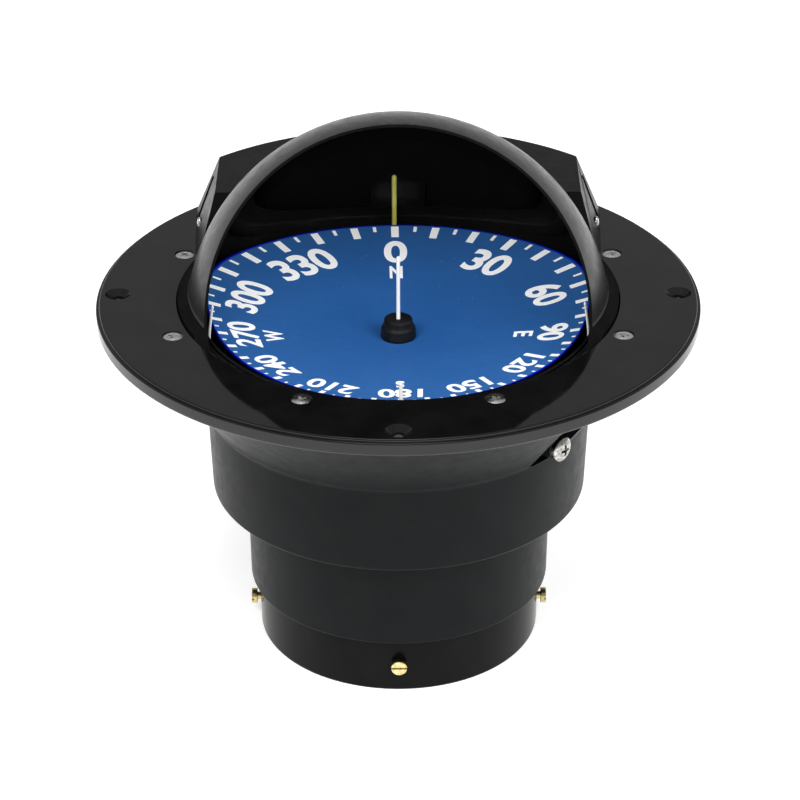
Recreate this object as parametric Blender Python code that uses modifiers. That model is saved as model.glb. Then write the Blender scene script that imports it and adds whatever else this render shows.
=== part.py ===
"""Flush-mount marine compass: a hooded, fluid-filled dome over a gimballed card, in a stepped housing
with a magnetic compensator at its foot.

Metres, +Z up. The origin is at the centre of the underside of the compensator ring. -Y faces the
helmsman, +Y is forward and +X is to starboard. Angles round the vertical axis are given in degrees
from -Y, positive towards +X.
"""

import math

import bmesh
import bpy
from mathutils import Matrix, Vector

# Clearances
GAP = 0.0003

# Facets round the large turned parts, round small ones, and round holes and screws
LARGE_ROUND = 36
MEDIUM_ROUND = 20
SMALL_ROUND = 12
SCREW_ROUND = 10

# Heights above the underside
RING_TOP = 0.0217
LOWER_BOTTOM = 0.0220
LOWER_TOP = 0.0607
HOUSING_BOTTOM = 0.0610
SEAT_HEIGHT = 0.1263
RIM_TOP = 0.1296
FLANGE_UNDERSIDE = 0.1299
FLANGE_TOP = 0.1356
DECK_HEIGHT = 0.1580

# Outer radii
FLANGE_RADIUS = 0.1080
HOUSING_RADIUS = 0.0684
HOUSING_TOP_RADIUS = 0.0697
LOWER_RADIUS = 0.0560
RING_RADIUS = 0.0526

# Mounting flange
FLANGE_OPENING = 0.0792
LANDING_RADIUS = 0.0910
LANDING_STEP = 0.0001
MOUNT_HOLE_CIRCLE = 0.1004
MOUNT_HOLE_RADIUS = 0.0025
MOUNT_SINK_RADIUS = 0.0046
SCREW_CIRCLE = 0.0850
SCREW_HOLE_RADIUS = 0.0020
SCREW_HEAD_RADIUS = 0.0030
SCREW_SINK_RADIUS = 0.0037
SCREW_SHANK_RADIUS = 0.0016
SCREW_LENGTH = 0.0120
SCREW_COUNT = 8

# Dome, and the slightly larger hood over it
SPHERE_HEIGHT = 0.1254
DOME_RADIUS = 0.0710
DOME_WALL = 0.0025
DOME_FOOT_RADIUS = 0.0812
FOOT_FILLET = 0.0014
HOOD_CENTRE_HEIGHT = 0.1231
HOOD_RADIUS = 0.0765
HOOD_WALL = 0.0014
BOX_WALL = 0.0022
COLLAR_RADIUS = 0.0789
COLLAR_TOP = 0.1366
COLLAR_FILLET = 0.0043
COLLAR_BORE = 0.0753
LIP_Y = -0.0345
LIP_SLOPE = 0.60

# Housing walls
HOUSING_BORE = 0.0648
HOUSING_OUTLET = 0.0460
FLARE_FOOT = 0.0942
RIM_RADIUS = 0.0900
RIM_DEPTH = 0.0083
LOWER_BORE = 0.0530
RING_BORE = 0.0496
PLUG_ANGLE = 49.0
PLUG_HEIGHT = 0.0995
NOTCH_FLOOR = 0.0672
NOTCH_HALF_WIDTH = 0.0095
NOTCH_TOP = 0.1120
PLUG_BOSS_RADIUS = 0.0046
PLUG_BOSS_END = 0.0727

# Gimbals and card
GIMBAL_HEIGHT = 0.1155
GIMBAL_OUTER = 0.0602
GIMBAL_INNER = 0.0572
GIMBAL_HALF_HEIGHT = 0.0040
FRAME_RADIUS = 0.0558
FRAME_BORE = 0.0524
PIVOT_HEIGHT = 0.1185
PIN_CIRCLE = 0.0540
PIN_TOP = 0.1303
CARD_RADIUS = 0.0508
CARD_CENTRE_HEIGHT = 0.1194
CARD_DISH = 0.0023
CARD_THICKNESS = 0.0008
ROD_TOP = 0.1444

# Compensator
NS_HEIGHT = 0.0117
EW_HEIGHT = 0.0078
SHAFT_RADIUS = 0.0015
SHAFT_END = 0.0557
GEAR_SPACING = 0.0094
GEAR_TEETH = 10
GEAR_OFFSET = 0.0260
MAGNET_OFFSET = 0.0180

BLACK_GLOSS = (0.010, 0.010, 0.011)
BLACK_SATIN = (0.022, 0.022, 0.023)
STEEL = (0.62, 0.61, 0.58)
BRASS = (0.72, 0.52, 0.20)
RUBBER = (0.015, 0.015, 0.015)

for old in list(bpy.data.objects):
    bpy.data.objects.remove(old, do_unlink=True)

parts = bpy.data.collections.new("binnacle_compass")
cutters = bpy.data.collections.new("cutters")
bpy.context.scene.collection.children.link(parts)
bpy.context.scene.collection.children.link(cutters)


def material(name, colour, roughness, metallic=0.0, transmission=0.0):
    """A Principled material."""
    made = bpy.data.materials.new(name)
    made.use_nodes = True
    shader = made.node_tree.nodes["Principled BSDF"]
    shader.inputs["Base Color"].default_value = (*colour, 1.0)
    shader.inputs["Roughness"].default_value = roughness
    shader.inputs["Metallic"].default_value = metallic
    shader.inputs["Transmission Weight"].default_value = transmission
    made.diffuse_color = (*colour, 1.0)
    return made


def place(name, mesh, surface):
    """An object for mesh in the parts collection, or a hidden cutter where it has no surface."""
    made = bpy.data.objects.new(name, mesh)
    if surface is None:
        cutters.objects.link(made)
        made.hide_render = True
        made.display_type = "WIRE"
    else:
        parts.objects.link(made)
        if not mesh.materials:
            mesh.materials.append(surface)
    return made


def turned(name, outline, surface, segments=LARGE_ROUND, closed=True):
    """A solid of revolution about Z from (radius, height) points, which run down its outer side."""
    mesh = bpy.data.meshes.new(name)
    count = len(outline)
    edges = [(i, i + 1) for i in range(count - 1)]
    if closed:
        edges.append((count - 1, 0))
    mesh.from_pydata([(radius, 0.0, height) for radius, height in outline], edges, [])
    made = place(name, mesh, surface)
    screw = made.modifiers.new("turn", "SCREW")
    screw.angle = math.tau
    screw.steps = segments
    screw.render_steps = segments
    screw.use_merge_vertices = True
    screw.merge_threshold = 0.00001
    screw.use_smooth_shade = True
    return made


def from_bmesh(name, work, surface):
    """An object that takes over the bmesh work."""
    bmesh.ops.recalc_face_normals(work, faces=work.faces)
    mesh = bpy.data.meshes.new(name)
    work.to_mesh(mesh)
    work.free()
    return place(name, mesh, surface)


def block(name, low, high, surface, bevel=0.0):
    """A box between two corners."""
    low, high = Vector(low), Vector(high)
    work = bmesh.new()
    bmesh.ops.create_cube(work, size=1.0)
    bmesh.ops.scale(work, vec=high - low, verts=work.verts)
    bmesh.ops.translate(work, vec=(high + low) / 2, verts=work.verts)
    made = from_bmesh(name, work, surface)
    if bevel:
        edge = made.modifiers.new("edges", "BEVEL")
        edge.width = bevel
        edge.segments = 1
    return made


def rods(name, ends, radius, surface=None, segments=SMALL_ROUND):
    """One straight rod for each (start, end) pair."""
    work = bmesh.new()
    for start, end in ends:
        start, end = Vector(start), Vector(end)
        turn = (end - start).to_track_quat("Z", "Y").to_matrix().to_4x4()
        bmesh.ops.create_cone(
            work,
            cap_ends=True,
            segments=segments,
            radius1=radius,
            radius2=radius,
            depth=(end - start).length,
            matrix=Matrix.Translation((start + end) / 2) @ turn,
        )
    return from_bmesh(name, work, surface)


def extruded(name, outline, low, high, surface):
    """A prism on a flat outline of (x, y) points."""
    work = bmesh.new()
    face = work.faces.new([work.verts.new((x, y, low)) for x, y in outline])
    top = bmesh.ops.extrude_face_region(work, geom=[face])
    moved = [item for item in top["geom"] if isinstance(item, bmesh.types.BMVert)]
    bmesh.ops.translate(work, vec=(0.0, 0.0, high - low), verts=moved)
    return from_bmesh(name, work, surface)


def loft(name, lower, upper, surface):
    """A solid between two outlines with the same number of (x, y, z) points."""
    work = bmesh.new()
    below = [work.verts.new(point) for point in lower]
    above = [work.verts.new(point) for point in upper]
    work.faces.new(below)
    work.faces.new(above)
    for i in range(len(below)):
        j = (i + 1) % len(below)
        work.faces.new((below[i], below[j], above[j], above[i]))
    return from_bmesh(name, work, surface)


def combine(target, other, operation="DIFFERENCE"):
    """Cuts other from target, or joins it on."""
    step = target.modifiers.new(other.name, "BOOLEAN")
    step.operation = operation
    step.solver = "EXACT"
    step.object = other


def finished_mesh(source):
    """The evaluated mesh of source, which is then removed with its cutters."""
    bpy.context.view_layer.update()
    graph = bpy.context.evaluated_depsgraph_get()
    mesh = bpy.data.meshes.new_from_object(source.evaluated_get(graph))
    used = [step.object for step in source.modifiers if step.type == "BOOLEAN"]
    for item in [source, *used]:
        bpy.data.objects.remove(item, do_unlink=True)
    return mesh


def polar(radius, angle, height):
    """The point at radius and height, angle degrees round from -Y."""
    turn = math.radians(angle)
    return Vector((radius * math.sin(turn), -radius * math.cos(turn), height))


def arc(centre, radius, start, end, steps):
    """(radius, height) points on an arc; angles in degrees from the outward direction."""
    angles = [math.radians(start + (end - start) * i / steps) for i in range(steps + 1)]
    return [(centre[0] + radius * math.cos(a), centre[1] + radius * math.sin(a)) for a in angles]


def axis_point(name, location, parent=None):
    """An empty on a joint's axis."""
    made = bpy.data.objects.new(name, None)
    made.empty_display_size = 0.01
    made.location = location
    parts.objects.link(made)
    if parent is not None:
        attach(made, parent)
    return made


def attach(piece, parent):
    """Parents piece to an empty and leaves it where it is."""
    piece.parent = parent
    bpy.context.view_layer.update()
    piece.matrix_parent_inverse = parent.matrix_world.inverted()


def lie_along(piece, direction, location=(0.0, 0.0, 0.0)):
    """Turns a piece that was made along Z to lie along another direction."""
    piece.rotation_mode = "QUATERNION"
    piece.rotation_quaternion = Vector(direction).to_track_quat("Z", "Y")
    piece.location = location


gloss_black = material("gloss_black", BLACK_GLOSS, 0.12)
satin_black = material("satin_black", BLACK_SATIN, 0.40)
ring_black = material("ring_black", BLACK_GLOSS, 0.25)
clear_acrylic = material("clear_acrylic", (1.0, 1.0, 1.0), 0.0, transmission=1.0)
stainless = material("stainless", STEEL, 0.25, 1.0)
brass = material("brass", BRASS, 0.28, 1.0)
rubber = material("rubber", RUBBER, 0.70)
frame_black = material("frame_black", BLACK_SATIN, 0.50)
card_blue = material("card_blue", (0.020, 0.098, 0.330), 0.45)
float_white = material("float_white", (0.75, 0.75, 0.72), 0.60)
pin_white = material("pin_white", (0.85, 0.85, 0.83), 0.35)
pin_yellow = material("pin_yellow", (0.78, 0.72, 0.12), 0.35)
magnet_grey = material("magnet_grey", (0.25, 0.25, 0.27), 0.40, 0.8)
gear_white = material("gear_white", (0.80, 0.79, 0.74), 0.50)


# Mounting flange and its screws
def flange_outline():
    """A flat ring with a rounded rim and a small step below its top edge."""
    step_radius = FLANGE_RADIUS - 0.0012
    step_height = FLANGE_TOP - 0.0010
    return [
        (FLANGE_OPENING, FLANGE_TOP),
        (step_radius - 0.0006, FLANGE_TOP),
        (step_radius, FLANGE_TOP - 0.0003),
        (step_radius, step_height),
        (FLANGE_RADIUS - 0.0005, step_height - 0.0001),
        (FLANGE_RADIUS, step_height - 0.0006),
        (FLANGE_RADIUS, FLANGE_UNDERSIDE + 0.0010),
        (FLANGE_RADIUS - 0.0010, FLANGE_UNDERSIDE),
        (LANDING_RADIUS, FLANGE_UNDERSIDE),
        (LANDING_RADIUS, FLANGE_UNDERSIDE + LANDING_STEP),
        (FLANGE_OPENING, FLANGE_UNDERSIDE + LANDING_STEP),
    ]


def screw_angles():
    """The places of the flange screws round the ring."""
    return [360.0 / SCREW_COUNT * (i + 0.5) for i in range(SCREW_COUNT)]


def sunk_hole_mesh(sink_radius, hole_radius, depth):
    """A cutter for one countersunk hole whose mouth is at height 0."""
    over = 0.0010
    outline = [
        (0.0, over),
        (sink_radius + over, over),
        (hole_radius, hole_radius - sink_radius),
        (hole_radius, -depth),
        (0.0, -depth),
    ]
    return finished_mesh(turned("sunk_hole", outline, None, SMALL_ROUND, closed=False))


def scattered(name, meshes_and_places):
    """One cutter that holds a copy of each mesh at its place."""
    work = bmesh.new()
    for mesh, spot in meshes_and_places:
        before = set(work.verts)
        work.from_mesh(mesh)
        fresh = [vert for vert in work.verts if vert not in before]
        bmesh.ops.translate(work, vec=spot, verts=fresh)
    return from_bmesh(name, work, None)


def through(places, low, high):
    """Vertical (start, end) pairs at places."""
    return [((p.x, p.y, low), (p.x, p.y, high)) for p in places]


mount_places = [polar(MOUNT_HOLE_CIRCLE, 90.0 * i, FLANGE_TOP) for i in range(4)]
screw_places = [polar(SCREW_CIRCLE, angle, FLANGE_TOP) for angle in screw_angles()]

flange = turned("mounting_flange", flange_outline(), gloss_black, 48)
hole_depth = FLANGE_TOP - FLANGE_UNDERSIDE + 0.001
mount_hole = sunk_hole_mesh(MOUNT_SINK_RADIUS, MOUNT_HOLE_RADIUS, hole_depth)
screw_hole = sunk_hole_mesh(SCREW_SINK_RADIUS, SCREW_HOLE_RADIUS, hole_depth)
flange_holes = [(mount_hole, spot) for spot in mount_places]
flange_holes += [(screw_hole, spot) for spot in screw_places]
combine(flange, scattered("flange_holes", flange_holes))


def cross_recess(name, size, width, depth):
    """Two crossed slots for a screw whose head is at height 0."""
    slots = []
    for i, (x, y) in enumerate(((size, width), (width, size))):
        slots.append(block(f"{name}_{i}", (-x, -y, -depth), (x, y, 0.001), None))
    return slots


def countersunk_screw_mesh():
    """A flat-head screw with its top at height 0."""
    taper = SCREW_HEAD_RADIUS - SCREW_SHANK_RADIUS
    screw = turned(
        "flange_screw_master",
        [
            (0.0, 0.0),
            (SCREW_HEAD_RADIUS, 0.0),
            (SCREW_SHANK_RADIUS, -taper),
            (SCREW_SHANK_RADIUS, -SCREW_LENGTH),
            (0.0, -SCREW_LENGTH),
        ],
        stainless,
        SCREW_ROUND,
        closed=False,
    )
    for slot in cross_recess("flange_recess", 0.0019, 0.0004, 0.0011):
        combine(screw, slot)
    return finished_mesh(screw)


screw_mesh = countersunk_screw_mesh()
for number, angle in enumerate(screw_angles(), 1):
    screw = place(f"flange_screw_{number}", screw_mesh, stainless)
    screw.location = polar(SCREW_CIRCLE, angle, FLANGE_TOP - 0.0004)
    screw.rotation_euler.z = math.radians(37.0 * number)


# Dome and its gasket
def sphere_arc(centre_height, radius, lowest, steps):
    """A quarter profile of a sphere from its top down to the height lowest."""
    end = math.degrees(math.asin((lowest - centre_height) / radius))
    return arc((0.0, centre_height), radius, 90.0, end, steps)


def foot_fillet(sphere_height, sphere_radius, foot_height, fillet, steps, extra=0.0):
    """The concave curve from a sphere down to a flat foot, drawn extra outside itself."""
    centre_height = foot_height + fillet
    rise = centre_height - sphere_height
    reach = sphere_radius + fillet
    centre = (math.sqrt(reach**2 - rise**2), centre_height)
    start = 180.0 + math.degrees(math.asin(rise / reach))
    return arc(centre, fillet - extra, start, 270.0, steps)


def dome_outline():
    """A spherical shell on a flat foot."""
    fillet = foot_fillet(SPHERE_HEIGHT, DOME_RADIUS, RIM_TOP, FOOT_FILLET, 2)
    outer = sphere_arc(SPHERE_HEIGHT, DOME_RADIUS, fillet[0][1], 8)[:-1]
    inner = sphere_arc(SPHERE_HEIGHT, DOME_RADIUS - DOME_WALL, SEAT_HEIGHT + GAP, 8)
    foot = [(DOME_FOOT_RADIUS, RIM_TOP), (DOME_FOOT_RADIUS, SEAT_HEIGHT + GAP)]
    return outer + fillet + foot + inner[::-1]


turned("dome", dome_outline(), clear_acrylic, closed=False)

GROOVE_INNER = 0.0725
GROOVE_OUTER = 0.0755
GROOVE_FLOOR = SEAT_HEIGHT - 0.0020
turned(
    "dome_gasket",
    [
        (GROOVE_INNER + GAP, SEAT_HEIGHT),
        (GROOVE_OUTER - GAP, SEAT_HEIGHT),
        (GROOVE_OUTER - GAP, GROOVE_FLOOR + GAP),
        (GROOVE_INNER + GAP, GROOVE_FLOOR + GAP),
    ],
    rubber,
)


# Hood: part of a sphere on a collar, with a flat-topped box behind it
def hood_outline(extra=0.0):
    """The solid that bounds the hood from outside, grown by extra."""
    fillet = foot_fillet(HOOD_CENTRE_HEIGHT, HOOD_RADIUS, COLLAR_TOP, COLLAR_FILLET, 3, extra)
    outer = sphere_arc(HOOD_CENTRE_HEIGHT, HOOD_RADIUS + extra, fillet[0][1], 9)[:-1]
    foot = [
        (COLLAR_RADIUS + extra, COLLAR_TOP + extra),
        (COLLAR_RADIUS + extra, FLANGE_UNDERSIDE - extra),
        (0.0, FLANGE_UNDERSIDE - extra),
    ]
    return outer + fillet + foot


def dome_clearance():
    """The hood's inside, clear of the dome all over, as a cutter."""
    outer = sphere_arc(HOOD_CENTRE_HEIGHT, HOOD_RADIUS - HOOD_WALL, FLANGE_TOP, 9)
    floor = FLANGE_UNDERSIDE - 0.0020
    foot = [(COLLAR_BORE, FLANGE_UNDERSIDE), (COLLAR_BORE, floor), (0.0, floor)]
    return turned("dome_clearance", outer + foot, None, closed=False)


def box_outline(front, corner, height, inset=0.0):
    """The box's plan: straight sides from front to corner and an arc about the axis behind."""
    radius = math.hypot(*corner) - inset
    corner = (corner[0] - inset, math.sqrt(radius**2 - (corner[0] - inset) ** 2))
    start = math.atan2(corner[1], corner[0])
    steps = 10
    turns = [start + (math.pi - 2 * start) * i / steps for i in range(steps + 1)]
    rear = [(radius * math.cos(a), radius * math.sin(a)) for a in turns]
    sides = [(front[0] - inset, front[1] + inset), *rear, (inset - front[0], front[1] + inset)]
    return [(x, y, height) for x, y in sides]


BOX_TOP_FRONT = (0.0670, 0.0380)
BOX_TOP_CORNER = (0.0670, 0.0700)
BOX_FOOT_FRONT = (0.0738, 0.0160)
BOX_FOOT_CORNER = (0.0764, 0.0700)
box_foot = FLANGE_TOP + GAP
hood_box = loft(
    "hood_box",
    box_outline(BOX_FOOT_FRONT, BOX_FOOT_CORNER, box_foot),
    box_outline(BOX_TOP_FRONT, BOX_TOP_CORNER, DECK_HEIGHT),
    None,
)
box_hollow = loft(
    "box_hollow",
    box_outline(BOX_FOOT_FRONT, BOX_FOOT_CORNER, box_foot - 0.0010, BOX_WALL),
    box_outline(BOX_TOP_FRONT, BOX_TOP_CORNER, DECK_HEIGHT - BOX_WALL, BOX_WALL),
    None,
)
combine(box_hollow, turned("box_hollow_front", hood_outline(0.0004), None, closed=False))

lip_cutter = block("lip_cutter", (-0.12, -0.16, -0.10), (0.12, 0.0, 0.16), None)
lip_cutter.location = (0.0, LIP_Y, FLANGE_TOP)
lip_cutter.rotation_euler.x = -math.atan(LIP_SLOPE)

hood = turned("hood", hood_outline(), satin_black, closed=False)
combine(hood, hood_box, "UNION")
combine(hood, dome_clearance())
combine(hood, box_hollow)
combine(hood, lip_cutter)

HOOD_SCREW_Y = 0.0500
HOOD_SCREW_HEIGHT = 0.1395
HOOD_SCREW_SEAT = 0.0733
HOOD_SCREW_END = 0.0668
POST_INNER = 0.0660
POST_OUTER = 0.0694
POST_HALF_WIDTH = 0.0040
POST_RISE = 0.0064


def hood_screw_spans(start, end):
    """The (start, end) pairs on the axes of the hood's two side screws."""
    return [((side * start, HOOD_SCREW_Y, HOOD_SCREW_HEIGHT),
             (side * end, HOOD_SCREW_Y, HOOD_SCREW_HEIGHT)) for side in (-1, 1)]


hood_screw_holes = rods("hood_screw_holes", hood_screw_spans(HOOD_SCREW_END, 0.0850), 0.0015)
combine(hood, hood_screw_holes)
combine(hood, rods("hood_screw_seats", hood_screw_spans(HOOD_SCREW_SEAT, 0.0850), 0.0029))


def side_slot(name, side):
    """A slanted groove in a side of the box, just ahead of its rear corner."""
    slot = block(name, (-0.0014, -0.0015, -0.0085), (0.0014, 0.0015, 0.0085), None)
    slot.location = (side * 0.0722, 0.0630, 0.1455)
    slot.rotation_euler = (math.radians(-20.0), side * math.radians(-25.4), 0.0)
    return slot


for side, word in ((-1, "left"), (1, "right")):
    combine(hood, side_slot(f"side_slot_{word}", side))

# Posts on the flange that the hood's side screws go into
for side, word in ((-1, "left"), (1, "right")):
    inner, outer = sorted((side * POST_INNER, side * POST_OUTER))
    low = (inner, HOOD_SCREW_Y - POST_HALF_WIDTH, FLANGE_TOP - 0.0010)
    high = (outer, HOOD_SCREW_Y + POST_HALF_WIDTH, FLANGE_TOP + POST_RISE)
    combine(flange, block(f"hood_post_{word}", low, high, None), "UNION")
combine(flange, hood_screw_holes)


def pan_screw_mesh(head_radius, head_height, shank_radius, length, recess):
    """A pan-head screw along Z with the underside of its head at height 0."""
    screw = turned(
        "pan_screw_master",
        [
            (0.0, head_height),
            (head_radius * 0.65, head_height),
            (head_radius, head_height * 0.40),
            (head_radius, 0.0),
            (shank_radius, 0.0),
            (shank_radius, -length),
            (0.0, -length),
        ],
        stainless,
        SCREW_ROUND,
        closed=False,
    )
    for slot in cross_recess("pan_recess", head_radius * 0.55, head_radius * 0.12, recess):
        slot.location.z = head_height
        combine(screw, slot)
    return finished_mesh(screw)


hood_screw_mesh = pan_screw_mesh(0.0026, 0.0014, 0.0012, 0.0065, 0.0007)
for side, word in ((-1, "left"), (1, "right")):
    hood_screw = place(f"hood_screw_{word}", hood_screw_mesh, stainless)
    head_start = side * (HOOD_SCREW_SEAT + GAP)
    lie_along(hood_screw, (side, 0.0, 0.0), (head_start, HOOD_SCREW_Y, HOOD_SCREW_HEIGHT))


# Housings
def housing_outline():
    """A cup with an open floor, flared up to a stepped rim that holds the dome's foot."""
    lip = DOME_FOOT_RADIUS + GAP
    return [
        (lip, RIM_TOP),
        (RIM_RADIUS, RIM_TOP),
        (RIM_RADIUS, RIM_TOP - RIM_DEPTH),
        (HOUSING_TOP_RADIUS, FLARE_FOOT),
        (HOUSING_RADIUS, HOUSING_BOTTOM + 0.0010),
        (HOUSING_RADIUS - 0.0010, HOUSING_BOTTOM),
        (HOUSING_OUTLET, HOUSING_BOTTOM),
        (HOUSING_OUTLET, HOUSING_BOTTOM + 0.0030),
        (HOUSING_BORE, HOUSING_BOTTOM + 0.0030),
        (HOUSING_BORE, SEAT_HEIGHT),
        (GROOVE_INNER, SEAT_HEIGHT),
        (GROOVE_INNER, GROOVE_FLOOR),
        (GROOVE_OUTER, GROOVE_FLOOR),
        (GROOVE_OUTER, SEAT_HEIGHT),
        (lip, SEAT_HEIGHT),
    ]


BODY_SCREW_CIRCLE = 0.0512
BODY_HOLE_RADIUS = 0.0014
body_screw_places = [polar(BODY_SCREW_CIRCLE, 60.0 + 120.0 * i, 0.0) for i in range(3)]

housing = turned("upper_housing", housing_outline(), satin_black)
screw_depth = RIM_TOP - 0.0075 - GAP
rim_span = through(screw_places, screw_depth, RIM_TOP + 0.001)
combine(housing, rods("rim_holes", rim_span, SCREW_HOLE_RADIUS))
body_span = through(body_screw_places, HOUSING_BOTTOM - 0.001, HOUSING_BOTTOM + 0.004)
combine(housing, rods("body_holes_upper", body_span, BODY_HOLE_RADIUS))
# Notch in the flare, and in it the boss that the filler plug screws into
notch = block(
    "plug_notch",
    (-NOTCH_HALF_WIDTH, -0.0950, FLARE_FOOT - 0.0004),
    (NOTCH_HALF_WIDTH, -NOTCH_FLOOR, NOTCH_TOP),
    None,
)
notch.rotation_euler.z = math.radians(PLUG_ANGLE)
combine(housing, notch)


def on_plug_axis(start, end):
    """A (start, end) pair on the plug's axis, at two radii."""
    return [(polar(start, PLUG_ANGLE, PLUG_HEIGHT), polar(end, PLUG_ANGLE, PLUG_HEIGHT))]


boss_span = on_plug_axis(NOTCH_FLOOR - 0.0012, PLUG_BOSS_END)
combine(housing, rods("plug_boss", boss_span, PLUG_BOSS_RADIUS, segments=MEDIUM_ROUND), "UNION")
combine(housing, rods("plug_hole", on_plug_axis(0.0600, 0.0950), 0.0021))

plug_direction = polar(1.0, PLUG_ANGLE, 0.0)
WASHER_THICKNESS = 0.0009
plug_washer = turned(
    "filler_washer",
    [(0.0021, WASHER_THICKNESS), (0.0042, WASHER_THICKNESS), (0.0042, 0.0), (0.0021, 0.0)],
    rubber,
    MEDIUM_ROUND,
)
washer_start = PLUG_BOSS_END + GAP
lie_along(plug_washer, plug_direction, polar(washer_start, PLUG_ANGLE, PLUG_HEIGHT))
plug_mesh = pan_screw_mesh(0.0046, 0.0032, 0.0017, 0.0075, 0.0014)
plug = place("filler_plug", plug_mesh, stainless)
head_start = washer_start + WASHER_THICKNESS + GAP
lie_along(plug, plug_direction, polar(head_start, PLUG_ANGLE, PLUG_HEIGHT))

SEAL_INNER = 0.0538
SEAL_OUTER = 0.0554
SEAL_FLOOR = LOWER_TOP - 0.0012
LEDGE_RADIUS = 0.0465
LEDGE_HEIGHT = LOWER_TOP - 0.0014
BEAD_RADIUS = 0.0492
lower = turned(
    "lower_housing",
    [
        (SEAL_OUTER, LOWER_TOP),
        (LOWER_RADIUS, LOWER_TOP),
        (LOWER_RADIUS, LOWER_BOTTOM + 0.0012),
        (LOWER_RADIUS - 0.0012, LOWER_BOTTOM),
        (0.0060, LOWER_BOTTOM),
        (0.0060, LOWER_BOTTOM + 0.0030),
        (LOWER_BORE, LOWER_BOTTOM + 0.0030),
        (LOWER_BORE, LOWER_TOP - 0.0080),
        (LEDGE_RADIUS, LOWER_TOP - 0.0050),
        (LEDGE_RADIUS, LEDGE_HEIGHT),
        (BEAD_RADIUS, LEDGE_HEIGHT),
        (BEAD_RADIUS, LOWER_TOP),
        (SEAL_INNER, LOWER_TOP),
        (SEAL_INNER, SEAL_FLOOR),
        (SEAL_OUTER, SEAL_FLOOR),
    ],
    satin_black,
)
lower_span = through(body_screw_places, LOWER_TOP - 0.0042, LOWER_TOP + 0.001)
combine(lower, rods("body_holes_lower", lower_span, BODY_HOLE_RADIUS))
RING_SCREW_CIRCLE = 0.0440
ring_screw_places = [polar(RING_SCREW_CIRCLE, 135.0 + 180.0 * i, 0.0) for i in range(2)]
ring_span = through(ring_screw_places, LOWER_BOTTOM - 0.001, LOWER_BOTTOM + 0.004)
combine(lower, rods("ring_holes_lower", ring_span, 0.0016))

turned(
    "housing_seal",
    [
        (SEAL_INNER + GAP, LOWER_TOP),
        (SEAL_OUTER - GAP, LOWER_TOP),
        (SEAL_OUTER - GAP, SEAL_FLOOR + GAP),
        (SEAL_INNER + GAP, SEAL_FLOOR + GAP),
    ],
    rubber,
)
body_screw_mesh = pan_screw_mesh(0.0026, 0.0018, 0.0011, 0.0068, 0.0009)
for number, spot in enumerate(body_screw_places, 1):
    body_screw = place(f"body_screw_{number}", body_screw_mesh, stainless)
    body_screw.location = spot + Vector((0.0, 0.0, HOUSING_BOTTOM + 0.0030 + GAP))


# Expansion diaphragm between the fluid and the air in the lower housing
def diaphragm_outline():
    """A thin corrugated disc with a bead round its edge."""
    bead_floor = LEDGE_HEIGHT + GAP
    steps = 6
    reach = 0.0420
    wave = [(reach * i / steps, 0.0010 * (-1) ** (i // 2)) for i in range(steps + 1)]
    middle = bead_floor - 0.0006
    upper = [(r, middle + w + 0.0005) for r, w in wave]
    under = [(r, middle + w - 0.0005) for r, w in wave]
    edge = [
        (LEDGE_RADIUS + GAP, LOWER_TOP),
        (BEAD_RADIUS - GAP, LOWER_TOP),
        (BEAD_RADIUS - GAP, bead_floor),
        (LEDGE_RADIUS - GAP, bead_floor),
    ]
    return upper + edge + under[::-1]


turned("diaphragm", diaphragm_outline(), rubber, MEDIUM_ROUND, closed=False)

# Compensator ring
POST_CIRCLE = 0.0380
post_places = [polar(POST_CIRCLE, 45.0 + 180.0 * i, 0.0) for i in range(2)]
COVER_TOP = 0.0021
compensator_ring = turned(
    "compensator_ring",
    [
        (0.0, RING_TOP),
        (RING_RADIUS - 0.0006, RING_TOP),
        (RING_RADIUS, RING_TOP - 0.0006),
        (RING_RADIUS, 0.0012),
        (RING_RADIUS - 0.0012, 0.0),
        (RING_BORE, 0.0),
        (RING_BORE, RING_TOP - 0.0030),
        (0.0, RING_TOP - 0.0030),
    ],
    ring_black,
    closed=False,
)
post_span = through(post_places, COVER_TOP + GAP, RING_TOP - 0.0020)
combine(compensator_ring, rods("cover_posts", post_span, 0.0035), "UNION")
post_hole_span = through(post_places, COVER_TOP - 0.001, COVER_TOP + 0.0080)
combine(compensator_ring, rods("cover_post_holes", post_hole_span, 0.0013))
ring_hole_span = through(ring_screw_places, RING_TOP - 0.004, RING_TOP + 0.001)
combine(compensator_ring, rods("ring_holes", ring_hole_span, 0.0016))
ns_span = ((0.0, -0.060, NS_HEIGHT), (0.0, 0.060, NS_HEIGHT))
ew_span = ((-0.060, 0.0, EW_HEIGHT), (0.060, 0.0, EW_HEIGHT))
for word, (start, end) in (("ns", ns_span), ("ew", ew_span)):
    combine(compensator_ring, rods(f"{word}_shaft_holes", [(start, end)], SHAFT_RADIUS + GAP))

ring_screw_mesh = pan_screw_mesh(0.0026, 0.0018, 0.0013, 0.0068, 0.0009)
for number, spot in enumerate(ring_screw_places, 1):
    ring_screw = place(f"ring_screw_{number}", ring_screw_mesh, stainless)
    under_plate = Vector((0.0, 0.0, RING_TOP - 0.0030 - GAP))
    lie_along(ring_screw, (0.0, 0.0, -1.0), spot + under_plate)

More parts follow.
